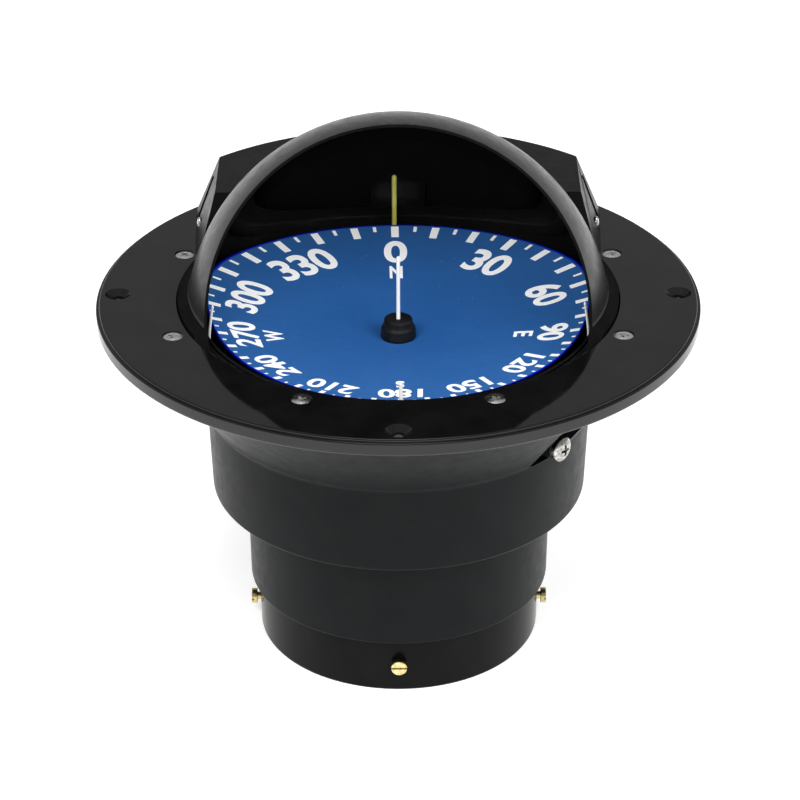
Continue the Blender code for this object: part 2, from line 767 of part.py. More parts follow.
cover = turned(
    "bottom_cover",
    [
        (0.0, COVER_TOP),
        (RING_BORE - GAP, COVER_TOP),
        (RING_BORE - GAP, 0.0006),
        (0.0, 0.0006),
    ],
    frame_black,
    closed=False,
)
cover_span = through(post_places, -0.001, 0.004)
combine(cover, rods("cover_holes", cover_span, 0.0016))
counterbore_span = through(post_places, -0.001, 0.0012)
combine(cover, rods("cover_counterbores", counterbore_span, 0.0029))
cover_screw_mesh = pan_screw_mesh(0.0025, 0.0007, 0.0010, 0.0070, 0.0004)
for number, spot in enumerate(post_places, 1):
    cover_screw = place(f"cover_screw_{number}", cover_screw_mesh, stainless)
    lie_along(cover_screw, (0.0, 0.0, -1.0), spot + Vector((0.0, 0.0, 0.0012 - GAP)))


# Compensator shafts, gears and magnets. Each pair is modelled along Z at the origin and laid down.
def slotted_shaft(name, direction, location, empty):
    """A brass shaft with a slotted head at each end, outside the ring."""
    neck = RING_RADIUS + 0.0010
    outline = []
    for sign in (1, -1):
        half = [
            (0.0, sign * SHAFT_END),
            (0.0029, sign * SHAFT_END),
            (0.0029, sign * neck),
            (SHAFT_RADIUS, sign * neck),
        ]
        outline += half if sign > 0 else half[::-1]
    shaft = turned(name, outline, brass, SMALL_ROUND, closed=False)
    lie_along(shaft, direction, location)
    across = Vector((0.0, 0.0, 1.0)).cross(direction)
    for word, sign in (("far", 1), ("near", -1)):
        tip = Vector(location) + Vector(direction) * sign * SHAFT_END
        reach = Vector(direction) * 0.0008 + across * 0.0040 + Vector((0.0, 0.0, 0.0004))
        low = tip - reach
        high = tip + reach
        corners = [(min(a, b), max(a, b)) for a, b in zip(low, high)]
        slot = block(f"{name}_slot_{word}", [c[0] for c in corners], [c[1] for c in corners], None)
        combine(shaft, slot)
    attach(shaft, empty)
    return shaft


PITCH_RADIUS = GEAR_SPACING / 2


def gear_plan(turn):
    """A spur gear's outline; turn is in tooth pitches."""
    points = []
    pitch = math.tau / GEAR_TEETH
    root, tip = PITCH_RADIUS - 0.0009, PITCH_RADIUS + 0.0005
    for tooth in range(GEAR_TEETH):
        middle = (tooth + turn) * pitch
        for radius, share in ((root, -0.27), (tip, -0.10), (tip, 0.10), (root, 0.27)):
            angle = middle + share * pitch
            points.append((radius * math.cos(angle), radius * math.sin(angle)))
    return points


def gear(name, direction, location, turn, empty, axle=None):
    """A gear centred on location, bored for its shaft, or in one piece with an axle between two ends."""
    made = extruded(name, gear_plan(turn), -0.0020, 0.0020, gear_white)
    if axle is None:
        combine(made, rods(f"{name}_bore", [((0, 0, -0.003), (0, 0, 0.003))], SHAFT_RADIUS + GAP))
    else:
        combine(made, rods(f"{name}_axle", [((0, 0, axle[0]), (0, 0, axle[1]))], SHAFT_RADIUS), "UNION")
    made = place(name, finished_mesh(made), gear_white)
    lie_along(made, direction, location)
    attach(made, empty)


def magnet(name, direction, location, empty):
    """A bar magnet across its shaft, short enough to pass its neighbour as both turn."""
    made = block(name, (-0.0022, -0.0038, -0.0020), (0.0022, 0.0038, 0.0020), magnet_grey)
    combine(made, rods(f"{name}_bore", [((0, 0, -0.003), (0, 0, 0.003))], SHAFT_RADIUS + GAP))
    made = place(name, finished_mesh(made), magnet_grey)
    lie_along(made, direction, location)
    attach(made, empty)


def bearing_bridge(name, along, side, height):
    """Two cheeks joined by a plate, with holes for a shaft and its counter axle.

    along is the shaft's direction from the middle, and side the direction of the counter axle."""
    along, side = Vector(along), Vector(side)
    plate_top = RING_TOP - 0.0030 - GAP
    up = Vector((0.0, 0.0, 1.0))

    def span(start, end, inner, outer, low, high, label, surface):
        first = along * start + side * inner + up * low
        second = along * end + side * outer + up * high
        corners = [(min(a, b), max(a, b)) for a, b in zip(first, second)]
        return block(label, [c[0] for c in corners], [c[1] for c in corners], surface)

    near, far = GEAR_OFFSET - 0.0135, GEAR_OFFSET + 0.0045
    inner, outer = -0.0035, GEAR_SPACING + 0.0035
    bridge = span(near, far, inner, outer, plate_top - 0.0010, plate_top, name, brass)
    for number, start in enumerate((near, far - 0.0020)):
        cheek = span(start, start + 0.0020, inner, outer, height - 0.0035, plate_top - 0.0002,
                     f"{name}_cheek_{number}", None)
        combine(bridge, cheek, "UNION")
    for number, reach in enumerate((0.0, GEAR_SPACING)):
        start = along * (near - 0.002) + side * reach + up * height
        end = along * (far + 0.002) + side * reach + up * height
        combine(bridge, rods(f"{name}_hole_{number}", [(start, end)], SHAFT_RADIUS + GAP))


def compensator(word, along, side, height):
    """One slotted shaft with its magnet and gear, and the geared counter magnet beside it."""
    along, side = Vector(along), Vector(side)
    up = Vector((0.0, 0.0, 1.0))
    middle = up * height
    axis = axis_point(f"{word}_shaft_axis", middle)
    counter_axis = axis_point(f"{word}_counter_axis", middle + side * GEAR_SPACING)
    slotted_shaft(f"{word}_shaft", along, middle, axis)
    gear(f"{word}_gear", along, middle + along * GEAR_OFFSET, 0.0, axis)
    magnet(f"{word}_magnet", along, middle + along * MAGNET_OFFSET, axis)
    beside = middle + side * GEAR_SPACING
    counter_middle = beside + along * GEAR_OFFSET
    gear(f"{word}_counter_gear", along, counter_middle, 0.5, counter_axis, (-0.0135, 0.0045))
    magnet(f"{word}_counter_magnet", along, beside + along * MAGNET_OFFSET, counter_axis)
    bearing_bridge(f"{word}_bearing", along, side, height)


compensator("ns", (0.0, 1.0, 0.0), (1.0, 0.0, 0.0), NS_HEIGHT)
compensator("ew", (1.0, 0.0, 0.0), (0.0, -1.0, 0.0), EW_HEIGHT)


# Gimbals
roll_axis = axis_point("roll_axis", (0.0, 0.0, GIMBAL_HEIGHT))
pitch_axis = axis_point("pitch_axis", (0.0, 0.0, GIMBAL_HEIGHT), roll_axis)
card_axis = axis_point("card_axis", (0.0, 0.0, PIVOT_HEIGHT), pitch_axis)
PIN_RADIUS = 0.0012

gimbal_ring = turned(
    "gimbal_ring",
    [
        (GIMBAL_INNER, GIMBAL_HEIGHT + GIMBAL_HALF_HEIGHT),
        (GIMBAL_OUTER, GIMBAL_HEIGHT + GIMBAL_HALF_HEIGHT),
        (GIMBAL_OUTER, GIMBAL_HEIGHT - GIMBAL_HALF_HEIGHT),
        (GIMBAL_INNER, GIMBAL_HEIGHT - GIMBAL_HALF_HEIGHT),
    ],
    brass,
)
gimbal_span = [
    ((-0.065, 0.0, GIMBAL_HEIGHT), (0.065, 0.0, GIMBAL_HEIGHT)),
    ((0.0, -0.065, GIMBAL_HEIGHT), (0.0, 0.065, GIMBAL_HEIGHT)),
]
for word, span in zip(("pitch", "roll"), gimbal_span):
    combine(gimbal_ring, rods(f"{word}_pin_holes", [span], PIN_RADIUS + GAP))
attach(gimbal_ring, roll_axis)

for word, sign in (("aft", -1), ("forward", 1)):
    near, far = sorted((sign * 0.0610, sign * 0.0655))
    low = (-0.0050, near, GIMBAL_HEIGHT - 0.0060)
    high = (0.0050, far, GIMBAL_HEIGHT + 0.0050)
    combine(housing, block(f"gimbal_boss_{word}", low, high, None), "UNION")
    hole = ((0.0, sign * 0.0600, GIMBAL_HEIGHT), (0.0, sign * 0.0645, GIMBAL_HEIGHT))
    combine(housing, rods(f"boss_hole_{word}", [hole], PIN_RADIUS + GAP))
    pin_ends = ((0.0, sign * 0.0578, GIMBAL_HEIGHT), (0.0, sign * 0.0642, GIMBAL_HEIGHT))
    rods(f"roll_pin_{word}", [pin_ends], PIN_RADIUS, stainless)


# Inner frame: a bowl hung in the gimbal ring, with the lubber pins and the pivot
def bowl_arc(radius, depth, steps):
    """Half an ellipse's profile from the rim to the axis."""
    top = GIMBAL_HEIGHT - 0.0040
    angles = [math.pi / 2 * i / steps for i in range(steps + 1)]
    return [(radius * math.cos(a), top - depth * math.sin(a)) for a in angles]


FRAME_DEPTH = 0.0290
outer_bowl = bowl_arc(FRAME_RADIUS, FRAME_DEPTH, 5)
inner_bowl = bowl_arc(FRAME_BORE, FRAME_DEPTH - 0.0020, 5)
frame_top = GIMBAL_HEIGHT + 0.0035
frame = turned(
    "inner_frame",
    [*inner_bowl[::-1], (FRAME_BORE, frame_top), (FRAME_RADIUS, frame_top), *outer_bowl],
    frame_black,
    closed=False,
)
PIN_PLACES = {"forward": 180.0, "starboard": 90.0, "aft": 0.0, "port": -90.0}
pin_sockets = [polar(PIN_CIRCLE, angle, 0.0) for angle in PIN_PLACES.values()]
SOCKET_DEPTH = 0.0018
socket_span = through(pin_sockets, frame_top - SOCKET_DEPTH, frame_top + 0.001)
combine(frame, rods("lubber_sockets", socket_span, 0.0008 + GAP))
combine(frame, rods("frame_pin_holes", [gimbal_span[0]], PIN_RADIUS + GAP))
bowl_bottom = GIMBAL_HEIGHT - 0.0040 - FRAME_DEPTH
stem_span = [((0.0, 0.0, bowl_bottom - 0.002), (0.0, 0.0, bowl_bottom + 0.006))]
combine(frame, rods("stem_hole", stem_span, 0.0020 + GAP))
attach(frame, pitch_axis)

for word, sign in (("port", -1), ("starboard", 1)):
    pin_ends = ((sign * 0.0528, 0.0, GIMBAL_HEIGHT), (sign * 0.0598, 0.0, GIMBAL_HEIGHT))
    attach(rods(f"pitch_pin_{word}", [pin_ends], PIN_RADIUS, stainless), pitch_axis)

for word, angle in PIN_PLACES.items():
    forward = word == "forward"
    radius = 0.0007 if forward else 0.0005
    pin = turned(
        f"lubber_pin_{word}",
        [
            (0.0, PIN_TOP),
            (radius, PIN_TOP - radius * 0.7),
            (radius, frame_top - SOCKET_DEPTH + GAP),
            (0.0, frame_top - SOCKET_DEPTH + GAP),
        ],
        pin_yellow if forward else pin_white,
        SMALL_ROUND,
        closed=False,
    )
    pin.location = polar(PIN_CIRCLE, angle, 0.0)
    attach(pin, pitch_axis)

pivot_stem = turned(
    "pivot_stem",
    [
        (0.0, PIVOT_HEIGHT),
        (0.0004, PIVOT_HEIGHT - 0.0008),
        (0.0012, PIVOT_HEIGHT - 0.0030),
        (0.0020, PIVOT_HEIGHT - 0.0050),
        (0.0020, bowl_bottom - 0.0060),
        (0.0, bowl_bottom - 0.0060),
    ],
    stainless,
    SMALL_ROUND,
    closed=False,
)
attach(pivot_stem, pitch_axis)
WEIGHT_TOP = bowl_bottom - GAP
weight = turned(
    "frame_weight",
    [
        (0.0023, WEIGHT_TOP),
        (0.0110, WEIGHT_TOP),
        (0.0130, WEIGHT_TOP - 0.0020),
        (0.0130, WEIGHT_TOP - 0.0080),
        (0.0023, WEIGHT_TOP - 0.0080),
    ],
    brass,
    MEDIUM_ROUND,
)
attach(weight, pitch_axis)


# Card assembly
def card_height(radius):
    """The card's upper surface: a shallow dish, steepest at the rim."""
    return CARD_CENTRE_HEIGHT + CARD_DISH * (radius / CARD_RADIUS) ** 3


def card_outline():
    """The dished card with a hole for its hub."""
    radii = [0.0045, 0.0270, 0.0420, CARD_RADIUS - 0.0002]
    upper = [(r, card_height(r)) for r in radii]
    rim = [(CARD_RADIUS, card_height(CARD_RADIUS) - 0.0002)]
    under = [(r, h - CARD_THICKNESS) for r, h in upper]
    return upper + rim + under[::-1]


FLOAT_TOP = CARD_CENTRE_HEIGHT - CARD_THICKNESS - GAP
card = turned("card", card_outline(), card_blue)
card_float = turned(
    "card_float",
    [
        (0.0060, FLOAT_TOP),
        (0.0250, FLOAT_TOP),
        (0.0265, FLOAT_TOP - 0.0020),
        (0.0250, FLOAT_TOP - 0.0080),
        (0.0200, FLOAT_TOP - 0.0120),
        (0.0060, FLOAT_TOP - 0.0120),
    ],
    float_white,
    MEDIUM_ROUND,
)
HUB_TOP = 0.1262
hub = turned(
    "card_hub",
    [
        (0.0, HUB_TOP),
        (0.0032, HUB_TOP),
        (0.0036, HUB_TOP - 0.0004),
        (0.0048, CARD_CENTRE_HEIGHT + 0.0012),
        (0.0050, CARD_CENTRE_HEIGHT + GAP),
        (0.0041, CARD_CENTRE_HEIGHT + GAP),
        (0.0041, FLOAT_TOP),
        (0.0030, FLOAT_TOP),
        (0.0030, CARD_CENTRE_HEIGHT + 0.0024),
        (0.0, CARD_CENTRE_HEIGHT + 0.0024),
    ],
    frame_black,
    MEDIUM_ROUND,
    closed=False,
)
rod_foot = HUB_TOP - 0.0030
combine(hub, rods("rod_socket", [((0.0, 0.0, rod_foot), (0.0, 0.0, HUB_TOP + 0.001))],
                  0.0005 + GAP))
rod = rods("card_rod", [((0.0, 0.0, rod_foot + GAP), (0.0, 0.0, ROD_TOP))], 0.0005, pin_white)
jewel = turned(
    "pivot_jewel",
    [
        (0.0, CARD_CENTRE_HEIGHT + 0.0024 - GAP),
        (0.0026, CARD_CENTRE_HEIGHT + 0.0024 - GAP),
        (0.0026, CARD_CENTRE_HEIGHT - 0.0014),
        (0.0018, CARD_CENTRE_HEIGHT - 0.0014),
        (0.0, PIVOT_HEIGHT + GAP),
    ],
    magnet_grey,
    SMALL_ROUND,
    closed=False,
)
card_pieces = [card, card_float, hub, rod, jewel]
for word, sign in (("port", -1), ("starboard", 1)):
    inner, outer = sorted((sign * 0.0100, sign * 0.0150))
    low = (inner, -0.0160, FLOAT_TOP - 0.0120 - GAP - 0.0040)
    high = (outer, 0.0160, FLOAT_TOP - 0.0120 - GAP)
    card_pieces.append(block(f"card_magnet_{word}", low, high, magnet_grey))
for piece in card_pieces:
    attach(piece, card_axis)
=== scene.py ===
"""Looks of the flush-mount marine compass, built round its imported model.

Metres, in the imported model's frame: +Z up, -Y towards the helmsman, +X to starboard. Angles round
the vertical axis are in degrees from -Y, positive towards +X. A bearing is clockwise from +Y.
"""

import math

import bmesh
import bpy
from mathutils import Matrix, Vector


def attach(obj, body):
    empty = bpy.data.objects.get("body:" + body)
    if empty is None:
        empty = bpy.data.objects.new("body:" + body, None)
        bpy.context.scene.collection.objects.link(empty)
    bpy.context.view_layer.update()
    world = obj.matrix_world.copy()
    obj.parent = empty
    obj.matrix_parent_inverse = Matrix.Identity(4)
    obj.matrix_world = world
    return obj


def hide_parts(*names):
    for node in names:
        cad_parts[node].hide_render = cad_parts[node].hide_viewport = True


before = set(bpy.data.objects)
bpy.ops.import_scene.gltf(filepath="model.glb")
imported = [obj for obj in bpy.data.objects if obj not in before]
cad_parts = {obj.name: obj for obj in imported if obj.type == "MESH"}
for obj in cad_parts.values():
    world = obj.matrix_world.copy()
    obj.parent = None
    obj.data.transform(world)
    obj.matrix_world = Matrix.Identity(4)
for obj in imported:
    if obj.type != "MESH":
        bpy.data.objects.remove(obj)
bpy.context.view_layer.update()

# The clearance between pieces, and how far cutters run past the faces that they open
GAP = 0.0003
PAST = 0.0010

# Facets round the large turned pieces, round small ones and round screws and pins
LARGE_ROUND = 192
MEDIUM_ROUND = 64
SMALL_ROUND = 32

# Edges sharper than these many degrees look sharp, or are rounded where a piece is softened
SHARP_ANGLE = 35.0
SOFTENED_ANGLE = 40.0

# Heights above the underside
RING_TOP = 0.0217
LOWER_BOTTOM = 0.0220
LOWER_TOP = 0.0607
HOUSING_BOTTOM = 0.0610
SEAT_HEIGHT = 0.1263
RIM_TOP = 0.1296
FLANGE_UNDERSIDE = 0.1299
FLANGE_TOP = 0.1356
DECK_HEIGHT = 0.1580

# Flange
FLANGE_RADIUS = 0.1080
FLANGE_OPENING = 0.0792
LANDING_RADIUS = 0.0910
LANDING_STEP = 0.0001
STEP_WIDTH = 0.0012
STEP_DROP = 0.0010
MOUNT_HOLE_CIRCLE = 0.1004
MOUNT_HOLE_RADIUS = 0.0025
MOUNT_SINK_RADIUS = 0.0046
SCREW_CIRCLE = 0.0850
SCREW_HOLE_RADIUS = 0.0020
SCREW_SINK_RADIUS = 0.0037
SCREW_HEAD_RADIUS = 0.0034
SCREW_SHANK_RADIUS = 0.0016
SCREW_LENGTH = 0.0120
SCREW_COUNT = 8
SCREW_CROWN = 0.0005
SCREW_RIM = 0.0003
SCREW_SET = 0.0004
SCREW_TURN = 37.0

# Dome, and the slightly larger hood over it
SPHERE_HEIGHT = 0.1254
DOME_RADIUS = 0.0710
DOME_WALL = 0.0025
DOME_FOOT_RADIUS = 0.0812
FOOT_FILLET = 0.0014
HOOD_CENTRE_HEIGHT = 0.1231
HOOD_RADIUS = 0.0765
HOOD_WALL = 0.0009
BOX_WALL = 0.0022
HOOD_EDGE = 0.0005
SKIN = 0.0002
COLLAR_RADIUS = 0.0789
COLLAR_TOP = 0.1366
COLLAR_FILLET = 0.0043
COLLAR_BORE = 0.0753
LIP_Y = -0.0345
LIP_SLOPE = 0.60
COAT_MARGIN = 0.0200
BOX_TOP_FRONT = (0.0670, 0.0380)
BOX_TOP_CORNER = (0.0670, 0.0700)
BOX_FOOT_FRONT = (0.0738, 0.0160)
BOX_FOOT_CORNER = (0.0764, 0.0700)
HOOD_SCREW_Y = 0.0500
HOOD_SCREW_HEIGHT = 0.1395
HOOD_SCREW_SEAT = 0.0733
HOOD_SCREW_END = 0.0668
HOOD_HOLE_END = 0.0850
HOOD_HOLE_RADIUS = 0.0015
HOOD_SEAT_RADIUS = 0.0029
POST_INNER = 0.0660
POST_OUTER = 0.0694
POST_HALF_WIDTH = 0.0040
POST_RISE = 0.0064

# Housings
RIM_RADIUS = 0.0900
RIM_DEPTH = 0.0083
FLARE_FOOT = 0.0942
HOUSING_TOP_RADIUS = 0.0697
HOUSING_RADIUS = 0.0684
HOUSING_BORE = 0.0648
HOUSING_OUTLET = 0.0460
SHELL_FLOOR = 0.0030
GROOVE_INNER = 0.0725
GROOVE_OUTER = 0.0755
GROOVE_DEPTH = 0.0020
LOWER_RADIUS = 0.0560
LOWER_BORE = 0.0530
RING_RADIUS = 0.0526
RING_BORE = 0.0496
BODY_SCREW_CIRCLE = 0.0512
BODY_HOLE_RADIUS = 0.0014
RING_SCREW_CIRCLE = 0.0440
RING_HOLE_RADIUS = 0.0016
COVER_POST_CIRCLE = 0.0380
COVER_POST_RADIUS = 0.0035
COVER_HOLE_RADIUS = 0.0013
PLUG_ANGLE = 49.0
PLUG_HEIGHT = 0.0995
NOTCH_FLOOR = 0.0672
NOTCH_HALF_WIDTH = 0.0095
NOTCH_TOP = 0.1120
PLUG_BOSS_RADIUS = 0.0046
PLUG_BOSS_END = 0.0727
PLUG_HOLE_RADIUS = 0.0021
WASHER_RADIUS = 0.0042
WASHER_THICKNESS = 0.0009

# Gimbals and card
GIMBAL_HEIGHT = 0.1155
GIMBAL_OUTER = 0.0602
GIMBAL_INNER = 0.0572
GIMBAL_HALF_HEIGHT = 0.0040
BOSS_HALF_WIDTH = 0.0050
FRAME_RADIUS = 0.0558
FRAME_BORE = 0.0524
FRAME_TOP = GIMBAL_HEIGHT + 0.0035
FRAME_DEPTH = 0.0290
GIMBAL_PIN_RADIUS = 0.0012
AXLE_CUT = 0.0650
PIN_ANGLES = {"forward": 180.0, "starboard": 90.0, "aft": 0.0, "port": -90.0}
PIN_CIRCLE = 0.0540
PIN_TOP = 0.1303
FORWARD_PIN_RADIUS = 0.0005
OTHER_PIN_RADIUS = 0.0006
SOCKET_RADIUS = 0.0008
SOCKET_DEPTH = 0.0018
CARD_YAW = -0.8
CARD_RADIUS = 0.0508
CARD_HOLE = 0.0045
CARD_EDGE = 0.0002
CARD_CENTRE_HEIGHT = 0.1202
CARD_DISH = 0.0015
CARD_THICKNESS = 0.0008
HUB_TOP = 0.1256
HUB_SEAT = 0.1218
ROD_TOP = 0.1444
ROD_RADIUS = 0.0005

# Dial print, as radii on the card and heights of letters
TICK_OUTER = 0.0500
LONG_TICK_INNER = 0.0465
SHORT_TICK_INNER = 0.0484
LONG_TICK_WIDTH = 0.0016
SHORT_TICK_WIDTH = 0.0007
NUMERAL_FOOT = 0.0369
NUMERAL_HEIGHT = 0.0082
NUMERAL_WIDTH = 0.96
NUMERAL_WEIGHT = 0.028
LETTER_FOOT = 0.0302
LETTER_HEIGHT = 0.0052
LETTER_WIDTHS = {"N": 0.62, "E": 1.0, "S": 0.85, "W": 0.85}
LETTER_WEIGHT = 0.024
PRINT_RISE = 0.00003
PRINT_SINK = 0.00005

# Compensator
NS_HEIGHT = 0.0117
EW_HEIGHT = 0.0078
SHAFT_RADIUS = 0.0015
SHAFT_END = 0.0557
SHAFT_HEAD_RADIUS = 0.0029
SHAFT_SLOT_DEPTH = 0.0008


# ---------------------------------------------------------------- materials
class Finish:
    """A Principled material being put together, with the textures that most of them share."""

    def __init__(self, name, roughness, metallic=0.0, **fixed):
        self.made = bpy.data.materials.new(name)
        self.made.use_nodes = True
        self.tree = self.made.node_tree
        self.shader = self.tree.nodes["Principled BSDF"]
        self.shader.inputs["Roughness"].default_value = roughness
        self.shader.inputs["Metallic"].default_value = metallic
        for socket, value in fixed.items():
            self.shader.inputs[socket.replace("_", " ")].default_value = value
        self.place = self.node("TexCoord").outputs["Object"]

    def node(self, kind, **settings):
        """A new shader node with its settings."""
        made = self.tree.nodes.new("ShaderNode" + kind)
        for key, value in settings.items():
            setattr(made, key, value)
        return made

    def feed(self, source, target):
        """Links an output to an input."""
        self.tree.links.new(source, target)

    def noise(self, lump, detail=3.0):
        """Noise in lumps about this many metres across."""
        made = self.node("TexNoise")
        made.inputs["Scale"].default_value = 1.0 / lump
        made.inputs["Detail"].default_value = detail
        self.feed(self.place, made.inputs["Vector"])
        return made.outputs["Fac"]

    def spread(self, source, low, high, start=0.3, end=0.7):
        """The source's range start to end, stretched to low to high."""
        made = self.node("MapRange")
        made.inputs["From Min"].default_value = start
        made.inputs["From Max"].default_value = end
        made.inputs["To Min"].default_value = low
        made.inputs["To Max"].default_value = high
        self.feed(source, made.inputs["Value"])
        return made.outputs["Result"]

    def blend(self, source, first, second):
        """A colour between two, each a tuple or another node's output."""
        made = self.node("Mix", data_type="RGBA")
        self.feed(source, made.inputs["Factor"])
        for socket, colour in ((made.inputs[6], first), (made.inputs[7], second)):
            if isinstance(colour, tuple):
                socket.default_value = (*colour, 1.0)
            else:
                self.feed(colour, socket)
        return made.outputs[2]

    def radius(self):
        """The distance from the vertical axis."""
        flat = self.node("VectorMath", operation="MULTIPLY")
        flat.inputs[1].default_value = (1.0, 1.0, 0.0)
        self.feed(self.place, flat.inputs[0])
        length = self.node("VectorMath", operation="LENGTH")
        self.feed(flat.outputs["Vector"], length.inputs[0])
        return length.outputs["Value"]

    def colour(self, source):
        self.feed(source, self.shader.inputs["Base Color"])

    def roughness(self, source):
        self.feed(source, self.shader.inputs["Roughness"])

    def bump(self, source, height):
        """Relief of this height in metres."""
        made = self.node("Bump")
        made.inputs["Distance"].default_value = height
        self.feed(source, made.inputs["Height"])
        self.feed(made.outputs["Normal"], self.shader.inputs["Normal"])


def moulded(name, dark, light, smooth, rough, grain, relief, **fixed):
    """Black moulded plastic: cloudy colour, uneven gloss and a fine grain."""
    finish = Finish(name, rough, **fixed)
    cloud = finish.noise(0.012)
    finish.colour(finish.blend(finish.spread(cloud, 0.0, 1.0), dark, light))
    finish.roughness(finish.spread(finish.noise(0.004), smooth, rough))
    finish.bump(finish.noise(grain, 2.0), relief)
    return finish.made


def gloss_black():
    return moulded("gloss_black", (0.0030, 0.0030, 0.0032), (0.0060, 0.0058, 0.0058),
                   0.03, 0.07, 0.0016, 0.0000008, Specular_IOR_Level=0.40)


def hood_black():
    return moulded("hood_black", (0.0045, 0.0045, 0.0048), (0.0080, 0.0078, 0.0078),
                   0.26, 0.36, 0.0005, 0.000006, Specular_IOR_Level=0.40)


def dull_black():
    """The hood's collar and box, less polished than its dome."""
    return moulded("dull_black", (0.0040, 0.0040, 0.0042), (0.0070, 0.0068, 0.0068),
                   0.30, 0.42, 0.0005, 0.000006, Specular_IOR_Level=0.12)


def housing_black():
    return moulded("housing_black", (0.0050, 0.0058, 0.0062), (0.0070, 0.0080, 0.0084),
                   0.32, 0.42, 0.0006, 0.000006, Specular_IOR_Level=0.08)


def ring_black():
    return moulded("ring_black", (0.0030, 0.0030, 0.0031), (0.0050, 0.0050, 0.0050),
                   0.14, 0.20, 0.0010, 0.000003, Specular_IOR_Level=0.08)


def frame_black():
    return moulded("frame_black", (0.0040, 0.0040, 0.0042), (0.0070, 0.0070, 0.0070),
                   0.45, 0.60, 0.0004, 0.000008, Specular_IOR_Level=0.20)


def lining_black():
    """The matt coat that blinds the dome where the hood covers it."""
    return moulded("lining_black", (0.0044, 0.0044, 0.0046), (0.0058, 0.0057, 0.0058),
                   0.70, 0.85, 0.0004, 0.000006, Specular_IOR_Level=0.05)


def rubber_black():
    return moulded("rubber_black", (0.0090, 0.0090, 0.0090), (0.0160, 0.0155, 0.0150),
                   0.60, 0.80, 0.0003, 0.000010)


def stainless(name, darker_tone, lighter_tone):
    """Steel with fine turning marks and a little tarnish, between a darker and a lighter tone. The
    cross and plug steels are darkened copies whose colours are painted shade.
    """
    finish = Finish(name, 0.25, 1.0)
    stain = finish.spread(finish.noise(0.0012, 4.0), 0.0, 1.0, 0.35, 0.65)
    finish.colour(finish.blend(stain, darker_tone, lighter_tone))
    finish.roughness(finish.spread(finish.noise(0.0005, 4.0), 0.14, 0.34))
    finish.bump(finish.noise(0.0003, 2.0), 0.000006)
    return finish.made


def brass():
    """Yellow brass, duller and browner in patches."""
    finish = Finish("brass", 0.28, 1.0)
    patch = finish.spread(finish.noise(0.0018, 4.0), 0.0, 1.0, 0.35, 0.65)
    finish.colour(finish.blend(patch, (0.60, 0.47, 0.20), (0.84, 0.72, 0.38)))
    finish.roughness(finish.spread(finish.noise(0.0006, 3.0), 0.18, 0.36))
    finish.bump(finish.noise(0.0004, 2.0), 0.000006)
    return finish.made


def dial_blue():
    """Matt blue enamel, a little paler outwards, with a vivid line at its rim."""
    finish = Finish("dial_blue", 0.45, Specular_IOR_Level=0.25)
    reach = finish.radius()
    cloud = finish.spread(finish.noise(0.020), 0.0, 1.0)
    middle = finish.blend(cloud, (0.0170, 0.0920, 0.3000), (0.0210, 0.1010, 0.3200))
    outer = finish.blend(cloud, (0.0240, 0.1120, 0.3350), (0.0290, 0.1210, 0.3550))
    field = finish.blend(finish.spread(reach, 0.0, 1.0, 0.010, 0.050), middle, outer)
    rim = finish.spread(reach, 0.0, 1.0, CARD_RADIUS - 0.0006, CARD_RADIUS - 0.0004)
    finish.colour(finish.blend(rim, field, (0.0010, 0.0060, 0.4200)))
    finish.roughness(finish.spread(finish.noise(0.003), 0.40, 0.55))
    finish.bump(finish.noise(0.0006, 2.0), 0.000004)
    return finish.made


def paint(name, dark, light, roughness, lump=0.004, **fixed):
    """A light opaque colour with slight variation and a fine texture; settings in fixed may add a
    glow, which is painted light.
    """
    finish = Finish(name, roughness, **fixed)
    cloud = finish.spread(finish.noise(lump), 0.0, 1.0)
    finish.colour(finish.blend(cloud, dark, light))
    finish.roughness(finish.spread(finish.noise(lump / 3), roughness - 0.06, roughness + 0.08))
    finish.bump(finish.noise(0.0003, 2.0), 0.000004)
    return finish.made


def magnet_grey():
    """Dark sintered alloy."""
    finish = Finish("magnet_grey", 0.40, 0.8)
    speck = finish.spread(finish.noise(0.0006, 5.0), 0.0, 1.0)
    finish.colour(finish.blend(speck, (0.16, 0.16, 0.17), (0.30, 0.30, 0.31)))
    finish.roughness(finish.spread(finish.noise(0.0010), 0.32, 0.52))
    finish.bump(finish.noise(0.0003, 3.0), 0.000010)
    return finish.made


def glass(name, ior, glare):
    """Clear plastic that bends light, with lamps reaching what is inside it.

    glare is the share of its full reflection that it keeps."""
    finish = Finish(name, 0.0, Transmission_Weight=1.0, IOR=ior)
    finish.shader.inputs["Base Color"].default_value = (1.0, 1.0, 1.0, 1.0)
    haze = finish.spread(finish.noise(0.015), 0.0, 0.004, 0.45, 0.70)
    finish.roughness(haze)
    bend = finish.node("BsdfRefraction")
    bend.inputs["IOR"].default_value = ior
    finish.feed(haze, bend.inputs["Roughness"])
    damped = finish.node("MixShader")
    damped.inputs["Fac"].default_value = glare
    finish.feed(bend.outputs["BSDF"], damped.inputs[1])
    finish.feed(finish.shader.outputs["BSDF"], damped.inputs[2])
    path = finish.node("LightPath")
    either = finish.node("Math", operation="MAXIMUM")
    finish.feed(path.outputs["Is Shadow Ray"], either.inputs[0])
    finish.feed(path.outputs["Is Diffuse Ray"], either.inputs[1])
    mix = finish.node("MixShader")
    finish.feed(either.outputs["Value"], mix.inputs["Fac"])
    finish.feed(damped.outputs["Shader"], mix.inputs[1])
    finish.feed(finish.node("BsdfTransparent").outputs["BSDF"], mix.inputs[2])
    finish.feed(mix.outputs["Shader"], finish.tree.nodes["Material Output"].inputs["Surface"])
    return finish.made


